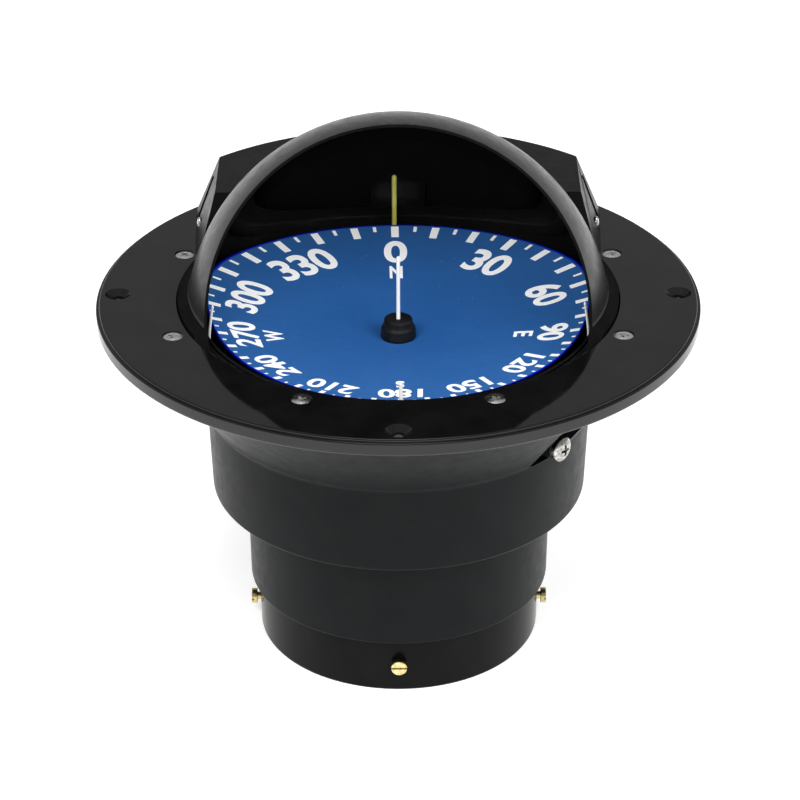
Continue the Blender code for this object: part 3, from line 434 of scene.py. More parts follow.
GLOSS_BLACK = gloss_black()
HOOD_BLACK = hood_black()
DULL_BLACK = dull_black()
HOUSING_BLACK = housing_black()
RING_BLACK = ring_black()
FRAME_BLACK = frame_black()
LINING_BLACK = lining_black()
RUBBER = rubber_black()
STEEL = stainless("stainless", (0.76, 0.75, 0.72), (0.90, 0.89, 0.87))
# A darker copy of the stainless for the filler plug under the flange: painted shade that dims its
# reflection.
SHADED_PLUG_STEEL = stainless("shaded_plug_steel", (0.24, 0.23, 0.21), (0.56, 0.55, 0.51))
# Near-black steel for the walls of the screws' cross recesses: painted shade in the recess.
SHADED_CROSS_STEEL = stainless("shaded_cross_steel", (0.03, 0.03, 0.03), (0.10, 0.10, 0.09))
BRASS = brass()
DIAL_BLUE = dial_blue()
# The print glows faintly although it is no lamp: painted light that keeps it bright white.
GLOWING_PRINT_WHITE = paint("glowing_print_white", (0.88, 0.89, 0.90), (0.94, 0.94, 0.94), 0.45,
                    Emission_Strength=0.16)
# The white pins and rod glow faintly although they are no lamps: painted light.
GLOWING_PIN_WHITE = paint("pin_white", (0.84, 0.84, 0.82), (0.92, 0.92, 0.90), 0.35,
                  Emission_Strength=0.12)
PIN_YELLOW = paint("pin_yellow", (0.66, 0.62, 0.10), (0.78, 0.75, 0.18), 0.35, 0.002)
FLOAT_WHITE = paint("float_white", (0.62, 0.62, 0.58), (0.78, 0.78, 0.75), 0.65, 0.002)
GEAR_WHITE = paint("gear_white", (0.70, 0.69, 0.64), (0.82, 0.81, 0.77), 0.45, 0.002)
JEWEL_RED = paint("jewel_red", (0.20, 0.01, 0.02), (0.38, 0.02, 0.04), 0.14, 0.001)
MAGNET = magnet_grey()
FLUID_IOR = 1.37
ACRYLIC_IOR = 1.49
GLARE = 0.02
DOME_OUTSIDE = glass("dome_outside", ACRYLIC_IOR, GLARE)
DOME_INSIDE = glass("dome_inside", ACRYLIC_IOR / FLUID_IOR, GLARE)


# ---------------------------------------------------------------- modelling helpers
def add_object(name, mesh):
    made = bpy.data.objects.new(name, mesh)
    bpy.context.scene.collection.objects.link(made)
    return made


def turned(name, outline, segments=LARGE_ROUND, closed=True):
    """A solid of revolution about Z from (radius, height) points, which run down its outer side."""
    mesh = bpy.data.meshes.new(name)
    edges = [(i, i + 1) for i in range(len(outline) - 1)]
    if closed:
        edges.append((len(outline) - 1, 0))
    mesh.from_pydata([(radius, 0.0, height) for radius, height in outline], edges, [])
    made = add_object(name, mesh)
    screw = made.modifiers.new("turn", "SCREW")
    screw.angle = math.tau
    screw.steps = segments
    screw.render_steps = segments
    screw.use_merge_vertices = True
    screw.merge_threshold = 0.000001
    return made


def rounded(corners, steps=4):
    """An outline whose corners (radius, height, cut) are rounded over the length cut each way."""
    points = []
    for i, (x, y, *cut) in enumerate(corners):
        here = Vector((x, y))
        if not cut:
            points.append((x, y))
            continue
        before = Vector(corners[i - 1][:2]) - here
        after = Vector(corners[(i + 1) % len(corners)][:2]) - here
        start = here + before.normalized() * cut[0]
        end = here + after.normalized() * cut[0]
        for step in range(steps + 1):
            t = step / steps
            point = start * (1 - t) ** 2 + here * 2 * t * (1 - t) + end * t**2
            points.append((point.x, point.y))
    return points


def from_bmesh(name, work):
    """An object that takes over the bmesh work."""
    bmesh.ops.recalc_face_normals(work, faces=work.faces)
    mesh = bpy.data.meshes.new(name)
    work.to_mesh(mesh)
    work.free()
    return add_object(name, mesh)


def block(name, low, high, taper=1.0):
    """A box between two corners, its floor taper times the size of its top."""
    low, high = Vector(low), Vector(high)
    work = bmesh.new()
    bmesh.ops.create_cube(work, size=1.0)
    floor = [vert for vert in work.verts if vert.co.z < 0]
    bmesh.ops.scale(work, vec=(taper, taper, 1.0), verts=floor)
    bmesh.ops.scale(work, vec=high - low, verts=work.verts)
    bmesh.ops.translate(work, vec=(high + low) / 2, verts=work.verts)
    return from_bmesh(name, work)


def rods(name, ends, radius, segments=SMALL_ROUND):
    """One straight rod for each (start, end) pair."""
    work = bmesh.new()
    for start, end in ends:
        start, end = Vector(start), Vector(end)
        turn = (end - start).to_track_quat("Z", "Y").to_matrix().to_4x4()
        bmesh.ops.create_cone(
            work,
            cap_ends=True,
            segments=segments,
            radius1=radius,
            radius2=radius,
            depth=(end - start).length,
            matrix=Matrix.Translation((start + end) / 2) @ turn,
        )
    return from_bmesh(name, work)


def loft(name, lower, upper):
    """A solid between two outlines with the same number of (x, y, z) points."""
    work = bmesh.new()
    below = [work.verts.new(point) for point in lower]
    above = [work.verts.new(point) for point in upper]
    work.faces.new(below)
    work.faces.new(above)
    for i in range(len(below)):
        j = (i + 1) % len(below)
        work.faces.new((below[i], below[j], above[j], above[i]))
    return from_bmesh(name, work)


def combine(target, other, operation="DIFFERENCE"):
    """Cuts other from target, or joins it on."""
    step = target.modifiers.new(other.name, "BOOLEAN")
    step.operation = operation
    step.solver = "EXACT"
    step.object = other


def soften(target, width):
    """Rounds the sharp edges of target."""
    edge = target.modifiers.new("edges", "BEVEL")
    edge.width = width
    edge.segments = 2
    edge.limit_method = "ANGLE"
    edge.angle_limit = math.radians(SOFTENED_ANGLE)


def finished_mesh(source):
    """The evaluated mesh of source, which is then removed with its cutters."""
    bpy.context.view_layer.update()
    graph = bpy.context.evaluated_depsgraph_get()
    mesh = bpy.data.meshes.new_from_object(source.evaluated_get(graph))
    used = [step.object for step in source.modifiers if step.type == "BOOLEAN"]
    for item in [source, *used]:
        bpy.data.objects.remove(item, do_unlink=True)
    return mesh


def copies(name, mesh, places):
    """One object with a copy of the mesh at each matrix."""
    work = bmesh.new()
    for matrix in places:
        before = set(work.verts)
        work.from_mesh(mesh)
        fresh = [vert for vert in work.verts if vert not in before]
        bmesh.ops.transform(work, matrix=matrix, verts=fresh)
    return from_bmesh(name, work)


def shaded(mesh, surface):
    """The mesh with one finish, smooth except across its sharp edges."""
    mesh.shade_smooth()
    mesh.set_sharp_from_angle(angle=math.radians(SHARP_ANGLE))
    mesh.materials.clear()
    mesh.materials.append(surface)
    return mesh


def refinish(mesh, surface, chosen):
    """Gives another finish to the faces whose middle is chosen."""
    mesh.materials.append(surface)
    for face in mesh.polygons:
        if chosen(face.center):
            face.material_index = len(mesh.materials) - 1


def settle(name, mesh, body, slot, *nodes):
    """The finished piece, riding on its body in place of the CAD nodes."""
    made = add_object(name, mesh)
    normals = made.modifiers.new("normals", "WEIGHTED_NORMAL")
    normals.keep_sharp = True
    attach(made, body)
    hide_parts(*nodes)
    return made


def polar(radius, angle, height):
    """The point at radius and height, angle degrees round from -Y."""
    turn = math.radians(angle)
    return Vector((radius * math.sin(turn), -radius * math.cos(turn), height))


def arc(centre, radius, start, end, steps):
    """(radius, height) points on an arc; angles in degrees from the outward direction."""
    angles = [math.radians(start + (end - start) * i / steps) for i in range(steps + 1)]
    return [(centre[0] + radius * math.cos(a), centre[1] + radius * math.sin(a)) for a in angles]


def pointing(direction, location):
    """The matrix that lays a piece made along Z along direction, from location."""
    turn = Vector(direction).to_track_quat("Z", "Y").to_matrix().to_4x4()
    return Matrix.Translation(location) @ turn


def through(places, low, high):
    """Vertical (start, end) pairs at places."""
    return [((p.x, p.y, low), (p.x, p.y, high)) for p in places]


def across(direction, height):
    """The (start, end) pair of a level cutter through the vertical axis, in a list."""
    middle = Vector((0.0, 0.0, height))
    half = Vector(direction) * AXLE_CUT
    return [(middle - half, middle + half)]


def ring_of(radius, count, first=0.0):
    """Points spaced evenly round the vertical axis."""
    return [polar(radius, first + 360.0 / count * i, 0.0) for i in range(count)]


# ---------------------------------------------------------------- flange and its screws
SCREW_PLACES = ring_of(SCREW_CIRCLE, SCREW_COUNT, 180.0 / SCREW_COUNT)


def sunk_hole(sink_radius, hole_radius):
    """A cutter mesh for one countersunk hole whose mouth is at height 0."""
    depth = FLANGE_TOP - FLANGE_UNDERSIDE + PAST
    outline = [
        (0.0, PAST),
        (sink_radius + PAST, PAST),
        (hole_radius, hole_radius - sink_radius),
        (hole_radius, -depth),
        (0.0, -depth),
    ]
    return finished_mesh(turned("sunk_hole", outline, SMALL_ROUND, closed=False))


def hood_screw_cutters(name, start, radius):
    """Cutters on the axes of the hood's two side screws, from start outwards."""
    spans = [((side * start, HOOD_SCREW_Y, HOOD_SCREW_HEIGHT),
              (side * HOOD_HOLE_END, HOOD_SCREW_Y, HOOD_SCREW_HEIGHT)) for side in (-1, 1)]
    return rods(name, spans, radius)


def make_flange():
    """The gloss ring with its stepped rim, countersunk holes and two hood posts."""
    step_radius = FLANGE_RADIUS - STEP_WIDTH
    step_height = FLANGE_TOP - STEP_DROP
    flange = turned("flange", rounded([
        (FLANGE_OPENING, FLANGE_TOP, 0.0004),
        (step_radius, FLANGE_TOP, 0.0006),
        (step_radius, step_height, 0.0002),
        (FLANGE_RADIUS, step_height, 0.0006),
        (FLANGE_RADIUS, FLANGE_UNDERSIDE, 0.0010),
        (LANDING_RADIUS, FLANGE_UNDERSIDE),
        (LANDING_RADIUS, FLANGE_UNDERSIDE + LANDING_STEP),
        (FLANGE_OPENING, FLANGE_UNDERSIDE + LANDING_STEP, 0.0003),
    ]))
    for name, places, sink_radius, hole_radius in (
        ("mount_holes", ring_of(MOUNT_HOLE_CIRCLE, 4), MOUNT_SINK_RADIUS, MOUNT_HOLE_RADIUS),
        ("screw_holes", SCREW_PLACES, SCREW_SINK_RADIUS, SCREW_HOLE_RADIUS),
    ):
        top = Vector((0.0, 0.0, FLANGE_TOP))
        spots = [Matrix.Translation(place + top) for place in places]
        combine(flange, copies(name, sunk_hole(sink_radius, hole_radius), spots))
    for side in (-1, 1):
        inner, outer = sorted((side * POST_INNER, side * POST_OUTER))
        low = (inner, HOOD_SCREW_Y - POST_HALF_WIDTH, FLANGE_TOP - PAST)
        high = (outer, HOOD_SCREW_Y + POST_HALF_WIDTH, FLANGE_TOP + POST_RISE)
        combine(flange, block("post", low, high), "UNION")
    combine(flange, hood_screw_cutters("post_holes", HOOD_SCREW_END, HOOD_HOLE_RADIUS))
    mesh = shaded(finished_mesh(flange), GLOSS_BLACK)
    settle("flange_moulding", mesh, "casing", "flange_black", "mounting_flange")


def cross_cutters(size, width, depth, height):
    """Two crossed tapering slots for a driver, in a head whose top is at height."""
    cutters = []
    for x, y in ((size, width), (width, size)):
        low, high = (-x, -y, height - depth), (x, y, height + 0.0004)
        cutters.append(block("recess", low, high, 0.55))
    return cutters


def crown(radius, rise, base):
    """(radius, height) points across a head's domed top, from the axis outwards."""
    steps = 8
    return [(radius * i / steps, base + rise * (1 - (i / steps) ** 2)) for i in range(steps + 1)]


def cross_headed(screw, reach, half_width, recess, top, surface):
    """The screw's mesh with a cross cut in its head, whose walls are given near-black steel as
    painted shade.
    """
    for cutter in cross_cutters(reach, half_width, recess, top):
        combine(screw, cutter)
    mesh = shaded(finished_mesh(screw), surface)
    # The crown lies above this span of heights, and the shank below it; the cross's walls between
    # them get the painted shade
    low, high = top - 1.05 * recess, top - 0.42 * recess
    refinish(mesh, SHADED_CROSS_STEEL, lambda spot: spot.xy.length < reach and low < spot.z < high)
    return mesh


def flange_screw_mesh():
    """A raised countersunk screw with its rim at height 0."""
    taper = SCREW_HEAD_RADIUS - SCREW_SHANK_RADIUS
    outline = crown(SCREW_HEAD_RADIUS, SCREW_CROWN, 0.0) + [
        (SCREW_HEAD_RADIUS, -SCREW_RIM),
        (SCREW_SHANK_RADIUS, -taper - SCREW_RIM),
        (SCREW_SHANK_RADIUS, -SCREW_LENGTH),
        (0.0, -SCREW_LENGTH),
    ]
    screw = turned("screw", outline, MEDIUM_ROUND, closed=False)
    return cross_headed(screw, 0.0021, 0.0006, 0.0013, SCREW_CROWN, STEEL)


def make_flange_screws():
    """Eight screws in a ring, each with its cross turned differently."""
    master = flange_screw_mesh()
    for number, place in enumerate(SCREW_PLACES, 1):
        mesh = master.copy()
        mesh.transform(Matrix.Rotation(math.radians(SCREW_TURN * number), 4, "Z"))
        mesh.transform(Matrix.Translation(place + Vector((0.0, 0.0, FLANGE_TOP - SCREW_SET))))
        settle(f"rim_screw_{number}", mesh, "casing", "stainless", f"flange_screw_{number}")


# ---------------------------------------------------------------- dome and hood
def sphere_arc(centre_height, radius, lowest, steps):
    """A quarter profile of a sphere from its top down to the height lowest."""
    end = math.degrees(math.asin((lowest - centre_height) / radius))
    return arc((0.0, centre_height), radius, 90.0, end, steps)


def foot_fillet(sphere_height, sphere_radius, foot_height, fillet, steps, extra=0.0):
    """The concave curve from a sphere down to a flat foot, drawn extra outside itself."""
    centre_height = foot_height + fillet
    rise = centre_height - sphere_height
    reach = sphere_radius + fillet
    centre = (math.sqrt(reach**2 - rise**2), centre_height)
    start = 180.0 + math.degrees(math.asin(rise / reach))
    return arc(centre, fillet - extra, start, 270.0, steps)


def behind_lip(point, margin):
    """True where a point lies behind the hood's lip by more than margin."""
    return point.y > LIP_Y + LIP_SLOPE * (point.z - FLANGE_TOP) + margin


def make_dome():
    """The clear shell. Its inner faces are where acrylic meets the damping fluid."""
    fillet = foot_fillet(SPHERE_HEIGHT, DOME_RADIUS, RIM_TOP, FOOT_FILLET, 10)
    outer = sphere_arc(SPHERE_HEIGHT, DOME_RADIUS, fillet[0][1], 60)[:-1]
    inner = sphere_arc(SPHERE_HEIGHT, DOME_RADIUS - DOME_WALL, SEAT_HEIGHT + GAP, 60)
    foot = [(DOME_FOOT_RADIUS, RIM_TOP), (DOME_FOOT_RADIUS, SEAT_HEIGHT + GAP)]
    mesh = finished_mesh(turned("dome_shell", outer + fillet + foot + inner[::-1], closed=False))
    work = bmesh.new()
    work.from_mesh(mesh)
    bmesh.ops.bisect_plane(
        work,
        geom=[*work.verts, *work.edges, *work.faces],
        plane_co=(0.0, LIP_Y + COAT_MARGIN, FLANGE_TOP),
        plane_no=(0.0, 1.0, -LIP_SLOPE),
    )
    work.to_mesh(mesh)
    work.free()
    centre = Vector((0.0, 0.0, SPHERE_HEIGHT))

    def inside(spot):
        return (spot - centre).length < DOME_RADIUS - DOME_WALL / 2 and spot.z > SEAT_HEIGHT + GAP

    def coated(spot):
        return behind_lip(spot, COAT_MARGIN) and spot.z > RIM_TOP and not inside(spot)

    shaded(mesh, DOME_OUTSIDE)
    refinish(mesh, DOME_INSIDE, inside)
    refinish(mesh, LINING_BLACK, coated)
    settle("clear_dome_shell", mesh, "casing", "clear_dome", "dome")


def hood_outline(extra=0.0):
    """The solid that bounds the hood from outside, grown by extra."""
    fillet = foot_fillet(HOOD_CENTRE_HEIGHT, HOOD_RADIUS, COLLAR_TOP, COLLAR_FILLET, 8, extra)
    outer = sphere_arc(HOOD_CENTRE_HEIGHT, HOOD_RADIUS + extra, fillet[0][1], 48)[:-1]
    foot = [
        (COLLAR_RADIUS + extra, COLLAR_TOP + extra),
        (COLLAR_RADIUS + extra, FLANGE_UNDERSIDE - extra),
        (0.0, FLANGE_UNDERSIDE - extra),
    ]
    return outer + fillet + foot


def dome_clearance():
    """The hood's inside, clear of the dome all over, as a cutter."""
    outer = sphere_arc(HOOD_CENTRE_HEIGHT, HOOD_RADIUS - HOOD_WALL, FLANGE_TOP, 48)
    floor = FLANGE_UNDERSIDE - 0.0020
    foot = [(COLLAR_BORE, FLANGE_UNDERSIDE), (COLLAR_BORE, floor), (0.0, floor)]
    return turned("dome_clearance", outer + foot, closed=False)


def box_outline(front, corner, height, inset):
    """The box's plan: straight sides from front to corner and an arc about the axis behind."""
    radius = math.hypot(*corner) - inset
    corner = (corner[0] - inset, math.sqrt(radius**2 - (corner[0] - inset) ** 2))
    start = math.atan2(corner[1], corner[0])
    steps = 48
    turns = [start + (math.pi - 2 * start) * i / steps for i in range(steps + 1)]
    rear = [(radius * math.cos(a), radius * math.sin(a)) for a in turns]
    sides = [(front[0] - inset, front[1] + inset), *rear, (inset - front[0], front[1] + inset)]
    return [(x, y, height) for x, y in sides]


def side_slot(side):
    """A slanted groove in a side of the box, just ahead of its rear corner."""
    slot = block("side_slot", (-0.0014, -0.0030, -0.0085), (0.0014, 0.0030, 0.0085))
    slot.location = (side * 0.0722, 0.0610, 0.1455)
    slot.rotation_euler = (math.radians(-20.0), side * math.radians(-25.4), 0.0)
    return slot


def box_solid(name, foot_height, top_height, inset=0.0):
    """The box behind the hood, or the hollow in it where inset is the wall's thickness."""
    return loft(
        name,
        box_outline(BOX_FOOT_FRONT, BOX_FOOT_CORNER, foot_height, inset),
        box_outline(BOX_TOP_FRONT, BOX_TOP_CORNER, top_height, inset),
    )


def lip_cutter():
    """Everything in front of the hood's sloping lip."""
    cutter = block("lip_cutter", (-0.12, -0.16, -0.10), (0.12, 0.0, 0.16))
    cutter.location = (0.0, LIP_Y, FLANGE_TOP)
    cutter.rotation_euler.x = -math.atan(LIP_SLOPE)
    return cutter


def make_hood():
    """Part of a sphere on a collar, with a flat-topped box behind it."""
    foot_height = FLANGE_TOP + GAP
    hood = turned("hood_body", hood_outline(), closed=False)
    combine(hood, box_solid("hood_box", foot_height, DECK_HEIGHT), "UNION")
    hollow = box_solid("box_hollow", foot_height - PAST, DECK_HEIGHT - BOX_WALL, BOX_WALL)
    combine(hollow, turned("hollow_front", hood_outline(0.0004), closed=False))
    combine(hood, dome_clearance())
    combine(hood, add_object("hollow", finished_mesh(hollow)))
    combine(hood, lip_cutter())
    combine(hood, hood_screw_cutters("hood_holes", HOOD_SCREW_END, HOOD_HOLE_RADIUS))
    combine(hood, hood_screw_cutters("hood_seats", HOOD_SCREW_SEAT, HOOD_SEAT_RADIUS))
    for side in (-1, 1):
        combine(hood, side_slot(side))
    soften(hood, HOOD_EDGE)
    mesh = shaded(finished_mesh(hood), HOOD_BLACK)
    darken_hood(mesh)
    settle("hood_moulding", mesh, "casing", "hood_black", "hood")


def darken_hood(mesh):
    """Gives the hood's inner wall, lip and collar the matt lining, and its box a duller finish."""
    centre = Vector((0.0, 0.0, HOOD_CENTRE_HEIGHT))

    def inner(spot):
        return (spot - centre).length < HOOD_RADIUS - SKIN

    def outer(spot):
        return (spot - centre).length > HOOD_RADIUS + SKIN

    def collar(spot):
        return spot.xy.length < COLLAR_RADIUS + 0.0010 and spot.z < COLLAR_TOP + 0.0030

    refinish(mesh, LINING_BLACK, lambda spot: inner(spot) or (collar(spot) and outer(spot)))
    refinish(mesh, DULL_BLACK, lambda spot: outer(spot) and not collar(spot))


def pan_screw_mesh(head_radius, head_height, shank_radius, length, recess, surface):
    """A pan-head screw along Z with the underside of its head at height 0."""
    rise = head_height * 0.25
    outline = crown(head_radius * 0.75, rise, head_height - rise) + rounded([
        (head_radius * 0.80, head_height - rise - head_radius * 0.03),
        (head_radius, head_height * 0.55, head_height * 0.15),
        (head_radius, 0.0, head_height * 0.06),
        (shank_radius, 0.0),
        (shank_radius, -length),
        (0.0, -length),
    ], 3)
    screw = turned("pan_screw", outline, MEDIUM_ROUND, closed=False)
    return cross_headed(screw, head_radius * 0.58, head_radius * 0.13, recess, head_height, surface)


def make_hood_screws():
    """The two small screws that hold the hood to the flange's posts."""
    master = pan_screw_mesh(0.0026, 0.0014, 0.0012, 0.0065, 0.0007, STEEL)
    for side, word in ((-1, "left"), (1, "right")):
        mesh = master.copy()
        spot = (side * (HOOD_SCREW_SEAT + GAP), HOOD_SCREW_Y, HOOD_SCREW_HEIGHT)
        mesh.transform(pointing((side, 0.0, 0.0), spot))
        settle(f"hood_fixing_{word}", mesh, "casing", "stainless", f"hood_screw_{word}")


# ---------------------------------------------------------------- housings
BODY_HOLES = ring_of(BODY_SCREW_CIRCLE, 3, 60.0)
RING_HOLES = ring_of(RING_SCREW_CIRCLE, 2, 135.0)
COVER_POSTS = ring_of(COVER_POST_CIRCLE, 2, 45.0)


def on_plug_axis(start, end):
    """A (start, end) pair on the plug's axis, at two radii."""
    return [(polar(start, PLUG_ANGLE, PLUG_HEIGHT), polar(end, PLUG_ANGLE, PLUG_HEIGHT))]


def upper_housing_body():
    """The cup that flares up to the rim, with its gasket groove."""
    lip = DOME_FOOT_RADIUS + GAP
    groove_floor = SEAT_HEIGHT - GROOVE_DEPTH
    return turned("housing", rounded([
        (lip, RIM_TOP),
        (RIM_RADIUS, RIM_TOP, 0.0003),
        (RIM_RADIUS, RIM_TOP - RIM_DEPTH, 0.0008),
        (HOUSING_TOP_RADIUS, FLARE_FOOT, 0.0012),
        (HOUSING_RADIUS, HOUSING_BOTTOM, 0.0012),
        (HOUSING_OUTLET, HOUSING_BOTTOM, 0.0004),
        (HOUSING_OUTLET, HOUSING_BOTTOM + SHELL_FLOOR, 0.0004),
        (HOUSING_BORE, HOUSING_BOTTOM + SHELL_FLOOR, 0.0015),
        (HOUSING_BORE, SEAT_HEIGHT),
        (GROOVE_INNER, SEAT_HEIGHT),
        (GROOVE_INNER, groove_floor),
        (GROOVE_OUTER, groove_floor),
        (GROOVE_OUTER, SEAT_HEIGHT),
        (lip, SEAT_HEIGHT),
    ]))


def add_plug_seat(housing):
    """The notch in the flare, with the filler plug's boss and hole."""
    outside = 0.0950
    low = (-NOTCH_HALF_WIDTH, -outside, FLARE_FOOT - 0.0004)
    notch = block("notch", low, (NOTCH_HALF_WIDTH, -NOTCH_FLOOR, NOTCH_TOP))
    notch.rotation_euler.z = math.radians(PLUG_ANGLE)
    combine(housing, notch)
    boss_span = on_plug_axis(NOTCH_FLOOR - 0.0012, PLUG_BOSS_END)
    combine(housing, rods("boss", boss_span, PLUG_BOSS_RADIUS, MEDIUM_ROUND), "UNION")
    combine(housing, rods("plug_hole", on_plug_axis(0.0600, outside), PLUG_HOLE_RADIUS))


def add_gimbal_boss(housing, sign):
    """A block inside the wall, with the socket of a roll pin."""
    near, far = sorted((sign * 0.0610, sign * 0.0655))
    low = (-BOSS_HALF_WIDTH, near, GIMBAL_HEIGHT - 0.0060)
    high = (BOSS_HALF_WIDTH, far, GIMBAL_HEIGHT + 0.0050)
    combine(housing, block("gimbal_boss", low, high), "UNION")
    hole = ((0.0, sign * 0.0600, GIMBAL_HEIGHT), (0.0, sign * 0.0645, GIMBAL_HEIGHT))
    combine(housing, rods("boss_hole", [hole], GIMBAL_PIN_RADIUS + GAP))


def make_upper_housing():
    """The wide cup, lined with matt black inside."""
    housing = upper_housing_body()
    rim_span = through(SCREW_PLACES, RIM_TOP - 0.0078, RIM_TOP + PAST)
    combine(housing, rods("rim_holes", rim_span, SCREW_HOLE_RADIUS))
    floor_top = HOUSING_BOTTOM + SHELL_FLOOR
    body_span = through(BODY_HOLES, HOUSING_BOTTOM - PAST, floor_top + PAST)
    combine(housing, rods("body_holes", body_span, BODY_HOLE_RADIUS))
    add_plug_seat(housing)
    for sign in (-1, 1):
        add_gimbal_boss(housing, sign)
    mesh = shaded(finished_mesh(housing), HOUSING_BLACK)
    widest, lowest = HOUSING_BORE + 0.0001, HOUSING_BOTTOM + 0.0010
    refinish(mesh, LINING_BLACK, lambda spot: spot.xy.length < widest and spot.z > lowest)
    settle("housing_upper_shell", mesh, "casing", "housing_black", "upper_housing")


def make_filler_plug():
    """The plug and its washer, which lie along one axis."""
    direction = polar(1.0, PLUG_ANGLE, 0.0)
    start = PLUG_BOSS_END + GAP
    washer = turned("washer", rounded([
        (PLUG_HOLE_RADIUS, WASHER_THICKNESS, 0.0002),
        (WASHER_RADIUS, WASHER_THICKNESS, 0.0003),
        (WASHER_RADIUS, 0.0, 0.0003),
        (PLUG_HOLE_RADIUS, 0.0, 0.0002),
    ]), MEDIUM_ROUND)
    mesh = shaded(finished_mesh(washer), RUBBER)
    mesh.transform(pointing(direction, polar(start, PLUG_ANGLE, PLUG_HEIGHT)))
    settle("filler_sealing_washer", mesh, "casing", "black_rubber", "filler_washer")
    plug = pan_screw_mesh(0.0046, 0.0032, 0.0017, 0.0075, 0.0014, SHADED_PLUG_STEEL)
    head = start + WASHER_THICKNESS + GAP
    plug.transform(pointing(direction, polar(head, PLUG_ANGLE, PLUG_HEIGHT)))
    settle("filler_plug_screw", plug, "casing", "stainless", "filler_plug")


def make_lower_housing():
    """The narrower cup below, with a seal groove in its top edge."""
    ledge = 0.0465
    ledge_height = LOWER_TOP - 0.0014
    seal_floor = LOWER_TOP - 0.0012
    lower = turned("lower", rounded([
        (0.0554, LOWER_TOP),
        (LOWER_RADIUS, LOWER_TOP, 0.0002),
        (LOWER_RADIUS - 0.0006, LOWER_BOTTOM, 0.0009),
        (0.0060, LOWER_BOTTOM, 0.0004),
        (0.0060, LOWER_BOTTOM + SHELL_FLOOR, 0.0004),
        (LOWER_BORE, LOWER_BOTTOM + SHELL_FLOOR, 0.0012),
        (LOWER_BORE, LOWER_TOP - 0.0080, 0.0010),
        (ledge, LOWER_TOP - 0.0050, 0.0004),
        (ledge, ledge_height),
        (0.0492, ledge_height),
        (0.0492, LOWER_TOP),
        (0.0538, LOWER_TOP),
        (0.0538, seal_floor),
        (0.0554, seal_floor),
    ]))
    lower_span = through(BODY_HOLES, LOWER_TOP - 0.0042, LOWER_TOP + PAST)
    combine(lower, rods("body_holes_lower", lower_span, BODY_HOLE_RADIUS))
    ring_span = through(RING_HOLES, LOWER_BOTTOM - PAST, LOWER_BOTTOM + SHELL_FLOOR + PAST)
    combine(lower, rods("ring_holes_lower", ring_span, RING_HOLE_RADIUS))
    mesh = shaded(finished_mesh(lower), HOUSING_BLACK)
    settle("housing_lower_shell", mesh, "casing", "housing_black", "lower_housing")


def make_compensator_ring():
    """The ring that carries the correction magnets."""
    plate = RING_TOP - 0.0030
    ring = turned("ring", rounded([
        (0.0, RING_TOP),
        (RING_RADIUS - 0.0002, RING_TOP, 0.0006),
        (RING_RADIUS - 0.0005, 0.0, 0.0010),
        (RING_BORE, 0.0, 0.0003),
        (RING_BORE, plate, 0.0008),
        (0.0, plate),
    ]), closed=False)
    posts = through(COVER_POSTS, 0.0021 + GAP, RING_TOP - 0.0020)
    combine(ring, rods("cover_posts", posts, COVER_POST_RADIUS), "UNION")
    cover_span = through(COVER_POSTS, 0.0011, 0.0101)
    combine(ring, rods("post_holes", cover_span, COVER_HOLE_RADIUS))
    ring_span = through(RING_HOLES, plate - PAST, RING_TOP + PAST)
    combine(ring, rods("ring_holes", ring_span, RING_HOLE_RADIUS))
    combine(ring, rods("ns_holes", across((0, 1, 0), NS_HEIGHT), SHAFT_RADIUS + GAP))
    combine(ring, rods("ew_holes", across((1, 0, 0), EW_HEIGHT), SHAFT_RADIUS + GAP))
    mesh = shaded(finished_mesh(ring), RING_BLACK)
    settle("compensator_ring_moulding", mesh, "casing", "ring_black", "compensator_ring")


def make_shafts():
    """The two brass adjusters with a slotted head at each end."""
    neck = RING_RADIUS + 0.0010
    half = rounded([
        (0.0, SHAFT_END),
        (SHAFT_HEAD_RADIUS, SHAFT_END, 0.0003),
        (SHAFT_HEAD_RADIUS, neck, 0.0002),
        (SHAFT_RADIUS, neck),
    ])
    outline = half + [(radius, -height) for radius, height in half[::-1]]
    for word, direction, height in (("ns", (0, 1, 0), NS_HEIGHT), ("ew", (1, 0, 0), EW_HEIGHT)):
        shaft = turned("shaft", outline, MEDIUM_ROUND, closed=False)
        for sign in (-1, 1):
            ends = (SHAFT_END - SHAFT_SLOT_DEPTH, SHAFT_END + SHAFT_SLOT_DEPTH)
            near, far = sorted(sign * end for end in ends)
            combine(shaft, block("slot", (-0.0040, -0.0004, near), (0.0040, 0.0004, far)))
        mesh = shaded(finished_mesh(shaft), BRASS)
        mesh.transform(pointing(direction, (0.0, 0.0, height)))
        settle(f"{word}_adjuster", mesh, f"{word}_drive", "brass", f"{word}_shaft")


# ---------------------------------------------------------------- gimbals, frame and lubber pins
def make_gimbal_ring():
    """The ring between the housing and the inner frame, bored for both pairs of pins."""
    top, bottom = GIMBAL_HEIGHT + GIMBAL_HALF_HEIGHT, GIMBAL_HEIGHT - GIMBAL_HALF_HEIGHT
    ring = turned("gimbal", rounded([
        (GIMBAL_INNER, top, 0.0004),
        (GIMBAL_OUTER, top, 0.0004),
        (GIMBAL_OUTER, bottom, 0.0004),
        (GIMBAL_INNER, bottom, 0.0004),
    ]))
    for direction in ((1, 0, 0), (0, 1, 0)):
        span = across(direction, GIMBAL_HEIGHT)
        combine(ring, rods("pin_holes", span, GIMBAL_PIN_RADIUS + GAP))
    mesh = shaded(finished_mesh(ring), FRAME_BLACK)
    settle("gimbal_ring_turned", mesh, "gimbal", "brass", "gimbal_ring")


def bowl_arc(radius, depth):
    """Half an ellipse's profile from the rim to the axis."""
    steps = 24
    top = GIMBAL_HEIGHT - GIMBAL_HALF_HEIGHT
    angles = [math.pi / 2 * i / steps for i in range(steps + 1)]
    return [(radius * math.cos(a), top - depth * math.sin(a)) for a in angles]


def pin_place(word):
    """Where a lubber pin stands. The frame has come to rest turned as the card has."""
    return polar(PIN_CIRCLE, PIN_ANGLES[word] - CARD_YAW, 0.0)


